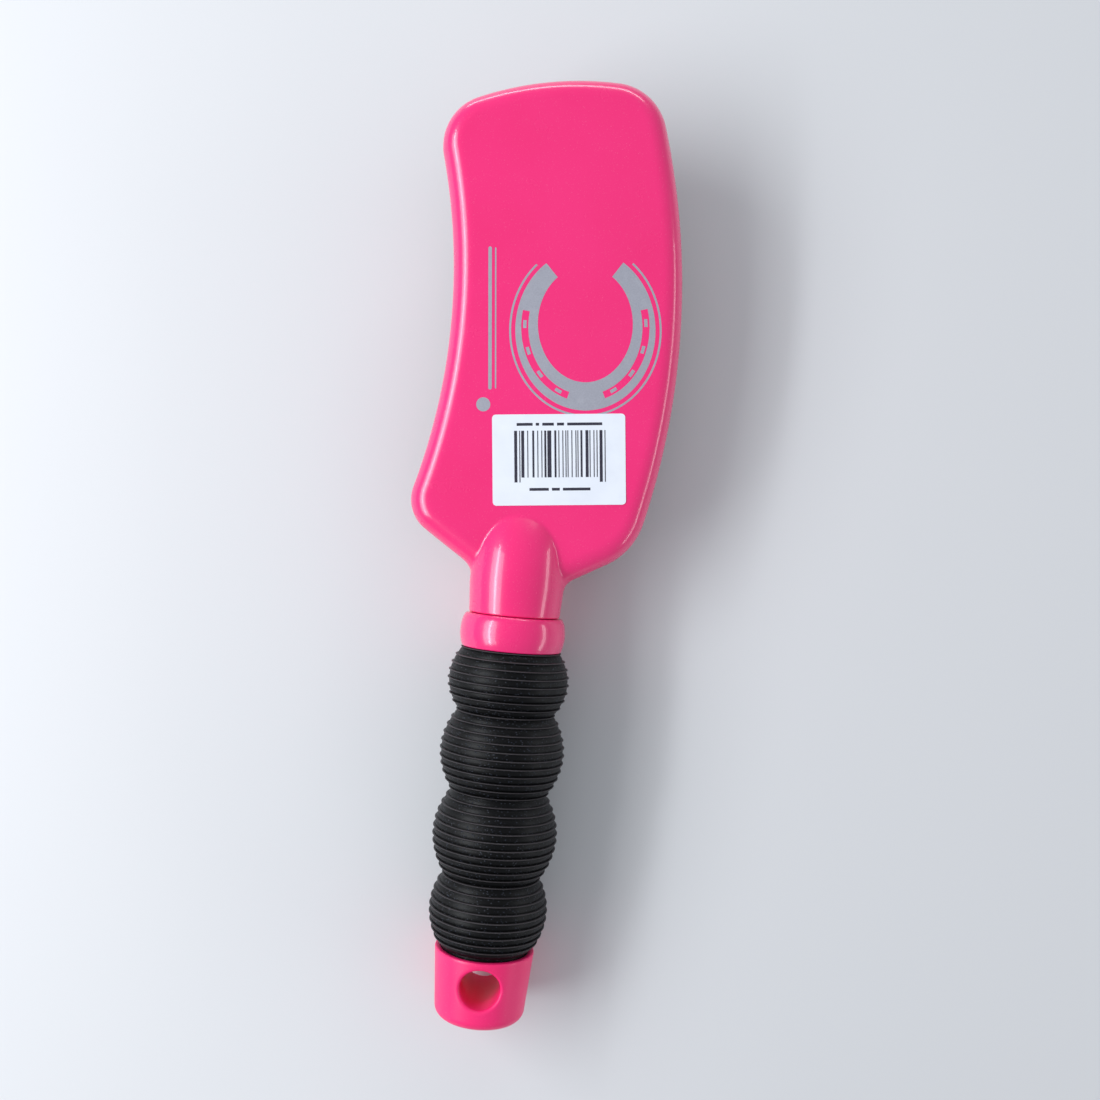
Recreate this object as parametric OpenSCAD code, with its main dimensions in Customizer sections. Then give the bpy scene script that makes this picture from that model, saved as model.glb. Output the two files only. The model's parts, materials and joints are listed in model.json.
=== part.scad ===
// Mane-and-tail brush for horses: a curved paddle head with an air-cushioned pin
// field, a round neck, a collar ring, a ribbed finger grip and an end cap with a
// hanging hole. Brush axes: +Y runs up the handle towards the head, +X is to the
// right seen from the back, +Z comes out of the back. The origin of those axes lies
// on the handle's centre line, where the neck meets the collar.

/* [Head outline] */
// Highest point of the head's top edge, along the handle
head_top_y = 147.2; // [140:0.1:155]
// Sideways place of that highest point
head_top_x = 12.5; // [5:0.5:20]
// Radius of the top edge
head_top_r = 87.7; // [70:0.1:120]
// Outermost point of the bulging right side
head_right_x = 38.6; // [34:0.1:42]
// Place of that point along the handle
head_right_y = 75.7; // [60:0.1:90]
// Radius of the right side
head_right_r = 208; // [180:1:260]
// Innermost point of the hollow left side
head_left_x = -24.4; // [-30:0.1:-20]
// Place of that point along the handle
head_left_y = 78.4; // [60:0.1:90]
// Radius of the left side
head_left_r = 171; // [150:1:240]
// Direction that the left shoulder faces, in degrees
left_shoulder_angle = 239; // [234:0.5:244]
// How far the left shoulder passes from the neck's centre, negative past it
left_shoulder_reach = -3.6; // [-6:0.1:-2]
// Direction that the right shoulder faces, in degrees
right_shoulder_angle = 297; // [292:0.5:302]
// How far the right shoulder passes from the neck's centre, negative past it
right_shoulder_reach = -2.5; // [-5:0.1:-1]
// Corner radius, top right
corner_top_right = 15; // [12:0.5:18]
// Corner radius, top left
corner_top_left = 14; // [12:0.5:18]
// Corner radius, bottom left
corner_bottom_left = 10.4; // [10:0.1:14]
// Corner radius, bottom right
corner_bottom_right = 19; // [14:0.5:24]

/* [Head section] */
// Thickness of the head
head_t = 12; // [11:0.5:14]
// Radius of the rim's rounding on the back
back_round = 4; // [2:0.5:5]
// Radius of the rim's rounding on the pin side
face_round = 2.5; // [1:0.5:3]
// Thickness of the back wall over the air chamber
roof_t = 3.4; // [2.5:0.1:4]

/* [Cushion and pins] */
// Width of the rim that frames the rubber cushion
cushion_frame = 5.2; // [5:0.1:5.6]
// Lowest edge of the cushion, along the handle
cushion_bottom_y = 18.8; // [18:0.1:20]
// How far the cushion stands out of the head
cushion_proud = 2; // [1.5:0.1:3]
// Thickness of the rubber
rubber_t = 1.8; // [1.5:0.1:2.2]
// Number of pin rows
pin_rows = 14; // [8:1:14]
// Distance between rows
row_pitch = 8; // [7.5:0.1:8]
// Place of the first row, along the handle
first_row_y = 27.5; // [27:0.5:30]
// Pins in a full row
row_pins = 7; // [5:1:7]
// Gap between the head's sides and the outermost pins
pin_margin = 11.5; // [11:0.5:14]
// Length of a pin outside the cushion
pin_out = 15; // [12:0.5:18]
// Diameter of a pin's stem
pin_d = 1.44; // [1.3:0.02:1.6]
// Diameter of the ball at a pin's tip
ball_d = 2.3; // [2:0.1:2.6]

/* [Neck and collar] */
// Diameter of the neck at the collar
neck_d = 24.9; // [23:0.1:27]
// Where the neck starts to sink into the back of the head
ramp_start_y = 8; // [6:0.5:12]
// Where it has sunk to the back of the head
ramp_end_y = 27; // [22:0.5:28]
// Where the neck starts to sink into the pin side
under_ramp_start_y = 2; // [1:0.5:4]
// Where it has sunk to the pin side
under_ramp_end_y = 15; // [12:0.5:16]
// Length of the collar ring
collar_l = 9.1; // [7:0.1:12]
// Largest diameter of the collar ring
collar_d = 28.8; // [27:0.1:31]

/* [Grip] */
// Diameter of the tube that carries the collar, the grip and the cap
tang_d = 20.8; // [19:0.1:22]
// Length of the rubber grip
grip_l = 83; // [75:0.5:90]
// Number of rings round the grip
grip_rings = 38; // [30:1:44]
// Depth of the grooves between the rings
groove_depth = 0.5; // [0.2:0.05:0.8]

/* [End cap] */
// Length of the cap below its rim
cap_l = 18.9; // [18:0.1:26]
// Diameter of the cap's rim
cap_rim_d = 27.2; // [26:0.1:30]
// Diameter of the cap's closed end
cap_end_d = 24.2; // [22:0.1:26]
// Diameter of the hanging hole
hole_d = 10.8; // [8:0.1:11]
// Distance from the closed end to the hanging hole's centre
hole_up = 11.3; // [10.5:0.1:12]

/* [Label] */
// Width of the price label
label_w = 35.8; // [30:0.1:40]
// Height of the price label
label_h = 24.5; // [20:0.1:26]
// Turn of the label against the handle, in degrees
label_turn = 5.6; // [0:0.1:8]

/* [Hidden] */
$fn = 64;

PINK = [0.98, 0.19, 0.47];
BLACK = [0.07, 0.07, 0.08];
PAPER = [0.94, 0.94, 0.95];

// Clearances and small overlaps that make clean solids
snug = 0.05;
seam = 0.25;
pin_play = 0.08;
lap = 0.5;

// Heights across the head
back_z = head_t / 2;
face_z = -head_t / 2;
roof_z = back_z - roof_t;
cushion_z = face_z - cushion_proud;
rubber_top_z = cushion_z + rubber_t;
tip_depth = pin_out - cushion_z;

// Seat of the cushion's bead in the head's wall
bead_inset = 4;
bead_low_z = -4.6;
bead_t = 2.2;
chamber_inset = 5.8;
cushion_wall = 2;

// Pins
flange_d = 3.2;
flange_t = 0.8;
flange_gap = 0.3;
vent_d = 1.8;

// Handle stations, all along the handle
collar_top_y = -seam;
collar_y = collar_top_y - collar_l;
grip_top_y = collar_y - snug;
grip_y = grip_top_y - grip_l;
cup_depth = 1.2;
cap_rim_y = grip_y + cup_depth;
cap_y = cap_rim_y - cap_l;
hole_y = cap_y + hole_up;
tang_y = grip_y + 1;
tang_bore_d = 14;
spigot_l = 14;

// ---- arcs ----

// The point near a hint where two circles cross
function meet(a, ra, b, rb, hint) =
    let (d = norm(b - a),
         along = (ra * ra - rb * rb + d * d) / (2 * d),
         across = sqrt(max(0, ra * ra - along * along)),
         u = (b - a) / d,
         side = [-u.y, u.x],
         p = a + along * u + across * side,
         q = a + along * u - across * side)
    norm(p - hint) < norm(q - hint) ? p : q;

function bearing(v) = atan2(v.y, v.x);

// The signed turn from one bearing to another, the short way round
function turn(a, b) = let (t = (b - a) % 360) t > 180 ? t - 360 : t < -180 ? t + 360 : t;

function arc(c, r, a, b, steps) =
    [for (k = [0 : steps - 1]) let (t = a + turn(a, b) * k / steps) c + r * [cos(t), sin(t)]];

// ---- outline of the head and of the cushion ----
// A side is [centre, radius, 1 if the head is inside the circle and -1 if outside,
// radius of the corner after it, hint for that corner's centre, steps].
// A straight edge is an arc of a very large radius.

straight_r = 600;
function facing(angle, reach) = (reach - straight_r) * [cos(angle), sin(angle)];

function sides(bottom_y, bottom_corner) = [
    [[head_right_x - head_right_r, head_right_y], head_right_r, 1,
        corner_top_right, [20, 130], 14],
    [[head_top_x, head_top_y - head_top_r], head_top_r, 1, corner_top_left, [-18, 130], 10],
    [[head_left_x - head_left_r, head_left_y], head_left_r, -1,
        corner_bottom_left, [-20, 30], 14],
    [facing(left_shoulder_angle, left_shoulder_reach), straight_r, 1,
        bottom_corner, [-6, bottom_y + 6], 3],
    [[0, bottom_y + straight_r], straight_r, 1, bottom_corner, [6, bottom_y + 6], 2],
    [facing(right_shoulder_angle, right_shoulder_reach), straight_r, 1,
        corner_bottom_right, [18, 35], 3]
];

function corner_centre(s, i) =
    let (a = s[i], b = s[(i + 1) % len(s)], r = a[3])
    meet(a[0], a[1] - a[2] * r, b[0], b[1] - b[2] * r, a[4]);

// The outline, moved inwards everywhere by inset
function outline(s, inset) =
    let (n = len(s), f = [for (i = [0 : n - 1]) corner_centre(s, i)])
    [for (i = [0 : n - 1])
        let (a = s[i], b = s[(i + 1) % n],
             from = bearing(f[(i + n - 1) % n] - a[0]), to = bearing(f[i] - a[0]),
             out = bearing((f[i] - a[0]) * a[2]), in = bearing((f[i] - b[0]) * b[2]))
        each concat(arc(a[0], a[1] - a[2] * inset, from, to, a[5]),
                    arc(f[i], a[3] - inset, out, in, 6))];

// The head's outline runs on under the neck, which hides its end
head_sides = sides(4.5, 5);
pad_sides = sides(cushion_bottom_y - cushion_frame, cushion_frame + 8);

// ---- shells ----

// A closed solid through rings of the same number of points, first ring lowest
module skin(rings) {
    n = len(rings[0]);
    m = len(rings);
    walls = [for (j = [0 : m - 2], k = [0 : n - 1])
        each [[j * n + k, j * n + n + k, j * n + n + (k + 1) % n],
              [j * n + k, j * n + n + (k + 1) % n, j * n + (k + 1) % n]]];
    polyhedron([for (r = rings) each r],
        concat([[for (k = [0 : n - 1]) k]], walls, [[for (k = [n - 1 : -1 : 0]) m * n - n + k]]));
}

function at_height(points, z) = [for (p = points) [p.x, p.y, z]];

// The rim's section, from the pin side to the back: [inset, height]
rim_steps = 5;
rim_section = concat(
    [for (k = [0 : rim_steps - 1]) let (a = 90 * k / rim_steps)
        [face_round * (1 - sin(a)), face_z + face_round * (1 - cos(a))]],
    [[0, face_z + face_round], [0, back_z - back_round]],
    [for (k = [1 : rim_steps]) let (a = 90 * k / rim_steps)
        [back_round * (1 - cos(a)), back_z - back_round * (1 - sin(a))]]);

module prism(points, low, high) {
    translate([0, 0, low]) linear_extrude(high - low) polygon(points);
}

module head_shell() {
    skin([for (r = rim_section) at_height(outline(head_sides, r[0]), r[1])]);
}

// How far a surface of the neck has sunk towards the head's at a place along the handle
function sunk(y, from, to) = (neck_d / 2 - back_z) * pow(max(0, y - from) / (to - from), 2);

// The neck's section at a place along the handle: a round bar that sinks into the head,
// later on its back than on its pin side
neck_steps = 14;
neck_side = 13;
neck_core = 4;
function neck_half(y) = neck_d / 2 + (neck_side - neck_d / 2) * min(1, y / ramp_start_y);
function neck_ring(y) =
    [for (k = [0 : 47])
        let (a = -7.5 * k, up = abs(sin(a)),
             drop = sin(a) > 0 ? sunk(y, ramp_start_y, ramp_end_y)
                               : sunk(y, under_ramp_start_y, under_ramp_end_y))
        [neck_half(y) * cos(a), y, sign(sin(a)) * max(neck_core * up, neck_d / 2 * up - drop)]];

module neck() {
    skin([for (k = [0 : neck_steps]) neck_ring(k * (ramp_end_y + 1.7) / neck_steps)]);
}

// Turns a shape round the handle's axis: the profile's second number is the place along it
module along_handle() {
    rotate([-90, 0, 0]) children();
}

module rod(d, low, high) {
    along_handle() translate([0, 0, low]) cylinder(d = d, h = high - low);
}

// ---- grip ----

// Waists and crests of the finger bulges: [place along the handle, radius]
grip_stations = [[grip_top_y, 13.8], [-18, 16.7], [-26.7, 13.4], [-37.5, 17.1], [-48.7, 13.4],
    [-60, 17.1], [-71.3, 13.4], [-80.7, 16.2], [grip_y, 11.8]];

// Radius at a place along the grip: round crests that meet in narrow waists
function grip_radius(y) =
    let (i = max([for (k = [0 : len(grip_stations) - 2]) y <= grip_stations[k][0] ? k : 0]),
         a = grip_stations[i], b = grip_stations[i + 1],
         waist = a[1] < b[1] ? a : b, crest = a[1] < b[1] ? b : a,
         t = (y - crest[0]) / (waist[0] - crest[0]))
    crest[1] + (waist[1] - crest[1]) * t * t;

ring_pitch = (grip_l - 2 * cup_depth) / grip_rings;
grip_outside = concat(
    [for (k = [0 : grip_rings - 1])
        let (y = grip_top_y - k * ring_pitch)
        each [[grip_radius(y) - groove_depth, y],
              [grip_radius(y - 0.2 * ring_pitch), y - 0.2 * ring_pitch],
              [grip_radius(y - 0.8 * ring_pitch), y - 0.8 * ring_pitch]]],
    [[12, grip_y + 2 * cup_depth], [12, grip_y]]);

// ---- how the brush lies: on its first pin row and on the grip's crests ----

rest_slopes = [for (p = grip_outside) (tip_depth - p[0]) / (first_row_y - p[1])];
tilt = atan(min(rest_slopes));
lift = tip_depth * cos(tilt) - first_row_y * sin(tilt);
head_plan = outline(head_sides, 0);
middle_x = (min([for (p = head_plan) p.x]) + max([for (p = head_plan) p.x])) / 2;
middle_y = (head_top_y + cap_y) / 2 * cos(tilt);

module at_rest() {
    translate([-middle_x, -middle_y, lift]) rotate([tilt, 0, 0]) children();
}

// ---- pins ----

function row_y(i) = first_row_y + i * row_pitch;
function left_at(y) =
    head_left_x - head_left_r + sqrt(pow(head_left_r, 2) - pow(y - head_left_y, 2));
function right_at(y) =
    head_right_x - head_right_r + sqrt(pow(head_right_r, 2) - pow(y - head_right_y, 2));

// The rows at the head's rounded ends are one pin shorter
function pins_in(i) = i == 0 || i == pin_rows - 1 ? row_pins - 1 : row_pins;
function pin_places(i) =
    let (y = row_y(i), n = pins_in(i), low = left_at(y) + pin_margin,
         high = right_at(y) - pin_margin, pitch = (high - low) / (row_pins - 1),
         start = (low + high) / 2 - pitch * (n - 1) / 2)
    [for (k = [0 : n - 1]) [start + k * pitch, y]];

module pin() {
    color(BLACK) {
        translate([0, 0, -tip_depth + ball_d / 2]) sphere(d = ball_d, $fn = 32);
        translate([0, 0, -tip_depth + ball_d / 2])
            cylinder(d = pin_d, h = tip_depth - ball_d / 2 + rubber_top_z + lap, $fn = 32);
        translate([0, 0, rubber_top_z + flange_gap])
            cylinder(d = flange_d, h = flange_t, $fn = 32);
    }
}

module pin_row(i) {
    at_rest() for (p = pin_places(i)) translate(p) pin();
}

// ---- parts ----

module brush_body() {
    color(PINK) at_rest() difference() {
        union() {
            head_shell();
            neck();
            rod(tang_d, tang_y, 2);
        }
        prism(outline(pad_sides, chamber_inset), bead_low_z, roof_z);
        prism(outline(pad_sides, bead_inset), bead_low_z, bead_low_z + bead_t);
        prism(outline(pad_sides, cushion_frame), face_z - 1, bead_low_z + lap);
        rod(tang_bore_d, tang_y - 1, 6);
    }
}

// A rubber tray with a bead round its edge and a hole for every pin
module cushion_pad() {
    edge = cushion_frame + 2 * snug;
    color(BLACK) at_rest() difference() {
        union() {
            skin([at_height(outline(pad_sides, edge + 4.1), cushion_z),
                at_height(outline(pad_sides, edge + 2.4), cushion_z + 0.2),
                at_height(outline(pad_sides, edge + 0.8), cushion_z + 0.9),
                at_height(outline(pad_sides, edge), cushion_z + 1.9),
                at_height(outline(pad_sides, edge), bead_low_z + lap)]);
            prism(outline(pad_sides, bead_inset + 2 * snug),
                bead_low_z + 2 * snug, bead_low_z + bead_t - 2 * snug);
        }
        prism(outline(pad_sides, edge + cushion_wall), rubber_top_z, roof_z);
        for (i = [0 : pin_rows - 1], p = pin_places(i))
            translate([p.x, p.y, cushion_z - 1])
                cylinder(d = pin_d + 2 * pin_play, h = rubber_t + 2);
        translate([pin_places(3)[3].x, row_y(3) + row_pitch / 2, cushion_z - 1])
            cylinder(d = vent_d, h = rubber_t + 2);
    }
}

collar_steps = 8;
collar_widest = 0.6;
collar_edge = 0.4;
module collar_ring() {
    top_d = neck_d + 0.1;
    profile = concat(
        [[tang_d / 2 + snug, collar_top_y]],
        [for (k = [0 : collar_steps]) let (a = 90 * k / collar_steps)
            [top_d / 2 + (collar_d - top_d) / 2 * sin(a),
             collar_top_y - collar_widest * collar_l * (1 - cos(a))]],
        [[collar_d / 2 - collar_edge, collar_y + collar_edge],
         [collar_d / 2 - 2 * collar_edge, collar_y], [tang_d / 2 + snug, collar_y]]);
    color(PINK) at_rest() along_handle() rotate_extrude() polygon(profile);
}

module grip_sleeve() {
    bore_r = tang_d / 2 + snug;
    color(BLACK) at_rest() along_handle() rotate_extrude()
        polygon(concat([[bore_r, grip_top_y]], grip_outside, [[bore_r, grip_y]]));
}

cap_edge = 2.6;
cap_edge_steps = 5;
module end_cap() {
    cup_r = 12 + snug;
    cup_y = grip_y - snug;
    end_r = cap_end_d / 2;
    edge = [for (k = [0 : cap_edge_steps]) let (a = 90 * k / cap_edge_steps)
        [end_r - cap_edge * (1 - cos(a)), cap_y + cap_edge * (1 - sin(a))]];
    profile = concat([[0, cap_y]], [for (k = [cap_edge_steps : -1 : 0]) edge[k]],
        [[cap_rim_d / 2, cap_rim_y - 0.4], [cap_rim_d / 2 - 0.4, cap_rim_y], [cup_r, cap_rim_y],
         [cup_r, cup_y], [tang_bore_d / 2 - snug, cup_y],
         [tang_bore_d / 2 - snug, cup_y + spigot_l], [0, cup_y + spigot_l]]);
    color(PINK) at_rest() difference() {
        along_handle() rotate_extrude() polygon(profile);
        translate([0, hole_y, -cap_rim_d]) cylinder(d = hole_d, h = 2 * cap_rim_d);
    }
}

label_x = 8.4;
label_y = 42.9;
label_t = 0.12;
label_corner = 1;
module price_label() {
    color(PAPER) at_rest() translate([label_x, label_y, back_z]) rotate(label_turn)
        linear_extrude(label_t) {
            square([label_w - 2 * label_corner, label_h], center = true);
            square([label_w, label_h - 2 * label_corner], center = true);
            for (x = [-1, 1], y = [-1, 1])
                translate([x * (label_w / 2 - label_corner), y * (label_h / 2 - label_corner)])
                    circle(label_corner);
        }
}

brush_body();
cushion_pad();
pin_row(0);  // pin_row_01
pin_row(1);  // pin_row_02
pin_row(2);  // pin_row_03
pin_row(3);  // pin_row_04
pin_row(4);  // pin_row_05
pin_row(5);  // pin_row_06
pin_row(6);  // pin_row_07
pin_row(7);  // pin_row_08
pin_row(8);  // pin_row_09
pin_row(9);  // pin_row_10
pin_row(10);  // pin_row_11
pin_row(11);  // pin_row_12
pin_row(12);  // pin_row_13
pin_row(13);  // pin_row_14
collar_ring();
grip_sleeve();
end_cap();
price_label();
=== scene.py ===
"""Mane-and-tail brush: the visible pieces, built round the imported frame.

Every form is drawn in the brush's own axes, in millimetres: x to the right seen from the
back, y up the handle towards the head, z out of the back, with the origin on the handle's
centre line at the collar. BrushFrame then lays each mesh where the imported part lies.
"""

import itertools
import json
import logging
import math
from dataclasses import dataclass, field
from enum import Enum
from typing import Any, Callable, Iterable, Sequence

import bmesh
import bpy
import numpy as np
from mathutils import Matrix, Vector


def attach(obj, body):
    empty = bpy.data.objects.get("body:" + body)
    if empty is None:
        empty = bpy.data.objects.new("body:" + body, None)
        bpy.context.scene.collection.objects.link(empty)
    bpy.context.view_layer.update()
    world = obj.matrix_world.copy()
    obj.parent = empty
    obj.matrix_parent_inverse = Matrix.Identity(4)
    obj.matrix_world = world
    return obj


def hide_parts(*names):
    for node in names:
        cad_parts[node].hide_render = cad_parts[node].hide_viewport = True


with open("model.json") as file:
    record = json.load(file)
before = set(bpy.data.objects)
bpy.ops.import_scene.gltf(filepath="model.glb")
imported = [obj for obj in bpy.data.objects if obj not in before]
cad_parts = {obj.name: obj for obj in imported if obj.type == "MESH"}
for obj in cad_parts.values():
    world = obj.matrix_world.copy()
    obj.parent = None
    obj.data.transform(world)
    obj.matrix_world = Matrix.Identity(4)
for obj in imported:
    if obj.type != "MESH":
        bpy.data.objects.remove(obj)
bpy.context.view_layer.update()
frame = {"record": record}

log = logging.getLogger("brush")
MM = 0.001
TURN = 2 * math.pi
FAR = 1e6  # a distance that no piece reaches
FINE_WELD = 1e-6

Points = np.ndarray
Field = Callable[[Points], np.ndarray]
Pair = tuple[float, float]
Colour = tuple[float, float, float]


class Slot(Enum):
    """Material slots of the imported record."""

    GLOSS_PINK = "gloss_pink"
    SATIN_PINK = "satin_pink"
    CUSHION = "cushion_rubber"
    GRIP = "grip_rubber"
    PINS = "pin_nylon"
    PAPER = "label_paper"
    BAR_INK = "bar_ink"
    SILVER_INK = "silver_ink"


HANDLE = "handle"


# ---------------------------------------------------------------- frame


@dataclass(frozen=True)
class BrushFrame:
    """Where the brush's own axes lie in the row frame."""

    origin: Vector
    along: Vector
    up: Vector
    across: Vector = Vector((1, 0, 0))

    @classmethod
    def from_record(cls, record: dict[str, Any], hole_y: float) -> "BrushFrame":
        """Finds the axes from the hanging hole's mount.

        Args:
            record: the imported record.
            hole_y: the hole's place along the handle, in millimetres.

        Returns:
            The frame of the brush as it lies.
        """
        hole = next(m for m in record["mounts"] if m["name"] == "hang_hole")
        up = Vector(hole["axis"]).normalized()
        along = up.cross(cls.across).normalized()
        return cls(Vector(hole["pos_m"]) - along * hole_y * MM, along, up)

    def matrix(self) -> Matrix:
        """Brush millimetres to row metres."""
        turn = Matrix((self.across, self.along, self.up)).transposed().to_4x4()
        return Matrix.Translation(self.origin) @ turn @ Matrix.Scale(MM, 4)

    def point(self, x: float, y: float, z: float) -> Vector:
        """A brush point, in row metres."""
        return self.matrix() @ Vector((x, y, z))


# ---------------------------------------------------------------- node boards


@dataclass(frozen=True)
class Wire:
    """A node's output, which Python's operators turn into Math nodes."""

    board: "Board"
    socket: bpy.types.NodeSocket

    def __add__(self, other: Any) -> "Wire":
        """self + other."""
        return self.board.math("ADD", self, other)

    def __sub__(self, other: Any) -> "Wire":
        """self - other."""
        return self.board.math("SUBTRACT", self, other)

    def __rsub__(self, other: Any) -> "Wire":
        """other - self."""
        return self.board.math("SUBTRACT", other, self)

    def __mul__(self, other: Any) -> "Wire":
        """self * other."""
        return self.board.math("MULTIPLY", self, other)

    def __truediv__(self, other: Any) -> "Wire":
        """self / other."""
        return self.board.math("DIVIDE", self, other)

    def __pow__(self, other: Any) -> "Wire":
        """self ** other."""
        return self.board.math("POWER", self, other)

    def __abs__(self) -> "Wire":
        """abs(self)."""
        return self.board.math("ABSOLUTE", self)

    __radd__ = __add__
    __rmul__ = __mul__

    def clamped(self) -> "Wire":
        """self, held between 0 and 1."""
        return self.board.math("ADD", self, 0.0, clamp=True)

    def band(self, low: float, high: float) -> "Wire":
        """0 below low, 1 above high and even between them."""
        return ((self - low) * (1 / (high - low))).clamped()


class Board:
    """A shader or geometry node tree and the one method that adds nodes to it."""

    def __init__(self, tree: bpy.types.NodeTree) -> None:
        """Wraps a tree."""
        self.tree = tree

    def feed(self, socket: bpy.types.NodeSocket, value: Any) -> None:
        """Links a wire to a socket, or sets the socket's own value.

        Args:
            socket: the input socket.
            value: a wire, or a plain value.
        """
        if isinstance(value, Wire):
            self.tree.links.new(value.socket, socket)
        else:
            socket.default_value = value

    def add(self, kind: str, settings: dict[str, Any] | None = None,
            inputs: dict[str | int, Any] | None = None) -> bpy.types.Node:
        """Adds a node.

        Args:
            kind: the node's type.
            settings: properties, and "stops" for a ramp or "curve" for a float curve.
            inputs: a value or a wire for each input socket, by name or number.

        Returns:
            The node.
        """
        node = self.tree.nodes.new(kind)
        for key, value in (settings or {}).items():
            if key == "stops":
                self._set_stops(node.color_ramp.elements, value)
            elif key == "curve":
                self._set_curve(node.mapping, value)
            else:
                setattr(node, key, value)
        for key, value in (inputs or {}).items():
            self.feed(node.inputs[key], value)
        return node

    @staticmethod
    def _set_stops(elements: Any, stops: Sequence[tuple[float, Colour]]) -> None:
        """Gives a colour ramp its stops.

        Args:
            elements: the ramp's elements.
            stops: place and colour of each stop, in order.
        """
        while len(elements) < len(stops):
            elements.new(1.0)
        for element, (place, colour) in zip(elements, stops):
            element.position = place
            element.color = (*colour, 1.0)

    @staticmethod
    def _set_curve(mapping: Any, points: Sequence[Pair]) -> None:
        """Gives a float curve its points.

        Args:
            mapping: the float curve's mapping.
            points: the curve's points, from left to right.
        """
        curve = mapping.curves[0]
        while len(curve.points) < len(points):
            curve.points.new(0.5, 0.5)
        for point, place in zip(curve.points, points):
            point.location = place
        mapping.update()

    def out(self, node: bpy.types.Node, socket: str | int = 0) -> Wire:
        """One of a node's outputs."""
        return Wire(self, node.outputs[socket])

    def math(self, operation: str, *values: Any, clamp: bool = False) -> Wire:
        """A Math node on values or wires."""
        settings = {"operation": operation, "use_clamp": clamp}
        return self.out(self.add("ShaderNodeMath", settings, dict(enumerate(values))))

    def mix(self, factor: Any, low: Any, high: Any) -> Wire:
        """A mix of two colours."""
        ends = {i: (*c, 1.0) if isinstance(c, tuple) else c for i, c in ((6, low), (7, high))}
        return self.out(self.add("ShaderNodeMix", {"data_type": "RGBA"}, {0: factor, **ends}), 2)


class Paint(Board):
    """A material under construction: object coordinates, noises and the shader."""

    def __init__(self, name: str) -> None:
        """Starts an empty material."""
        self.material = bpy.data.materials.new(name)
        self.material.use_nodes = True
        super().__init__(self.material.node_tree)
        self.tree.nodes.clear()
        self.place = self.out(self.add("ShaderNodeTexCoord"), "Object")

    def stretched(self, scale: tuple[float, float, float]) -> Wire:
        """Object coordinates, stretched on each axis."""
        inputs = {"Vector": self.place, "Scale": scale}
        return self.out(self.add("ShaderNodeMapping", None, inputs))

    def noise(self, size_mm: float, detail: float = 2.0, vector: Wire | None = None) -> Wire:
        """A noise from 0 to 1 whose features are about size_mm across."""
        inputs = {"Vector": vector or self.place, "Scale": 1 / (size_mm * MM), "Detail": detail}
        return self.out(self.add("ShaderNodeTexNoise", None, inputs), 0)

    def pebbles(self, size_mm: float) -> Wire:
        """Distance from the middle of round pebbles about size_mm across."""
        inputs = {"Vector": self.place, "Scale": 1 / (size_mm * MM)}
        return self.out(self.add("ShaderNodeTexVoronoi", None, inputs), "Distance")

    def bump(self, height: Wire, depth_mm: float, under: Wire | None = None) -> Wire:
        """A bump whose height of 1 stands depth_mm proud.

        Args:
            height: the height, from 0 to 1.
            depth_mm: how far 1 stands proud.
            under: a bump that this one lies on.

        Returns:
            The bent normal.
        """
        inputs: dict[str | int, Any] = {"Height": height, "Distance": depth_mm * MM, "Strength": 1.0}
        if under is not None:
            inputs["Normal"] = under
        return self.out(self.add("ShaderNodeBump", None, inputs))

    def finish(self, inputs: dict[str | int, Any]) -> bpy.types.Material:
        """Adds the shader and the output.

        Args:
            inputs: the Principled shader's values and wires.

        Returns:
            The finished material.
        """
        shader = self.add("ShaderNodeBsdfPrincipled", None, inputs)
        self.add("ShaderNodeOutputMaterial", None, {"Surface": self.out(shader)})
        return self.material


# ---------------------------------------------------------------- finishes


@dataclass(frozen=True)
class MouldedPlastic:
    """Dyed plastic as it leaves the mould: orange peel, faint smears and fine scuffs."""

    name: str
    colour: Colour
    deep: Colour
    rough: float
    coat: float
    peel_mm: float = 1.9
    peel_depth: float = 0.0035
    scuff: float = 0.05
    speck: Colour = (1.0, 0.45, 0.62)

    def material(self) -> bpy.types.Material:
        """Builds the material.

        Returns:
            The finished material.
        """
        paint = Paint(self.name)
        cloud = paint.noise(26.0, 3.0)
        speck = paint.noise(0.35, 1.0).band(0.66, 0.74)
        colour = paint.mix(cloud.band(0.3, 0.7), self.deep, self.colour)
        colour = paint.mix(speck * 0.10, colour, self.speck)
        smear = paint.noise(9.0, 4.0).band(0.45, 0.75)
        rub = paint.noise(1.4, 3.0, paint.stretched((1.0, 0.35, 1.0))).band(0.60, 0.8)
        rough = smear * self.scuff + rub * (self.scuff * 0.5) + self.rough
        peel = paint.bump(paint.noise(self.peel_mm, 1.0), self.peel_depth)
        grain = paint.bump(paint.noise(0.22, 2.0), self.peel_depth * 0.12, peel)
        return paint.finish({
            "Base Color": colour, "Roughness": rough, "IOR": 1.5, "Normal": grain,
            "Coat Weight": self.coat, "Coat Roughness": 0.05,
        })


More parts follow.
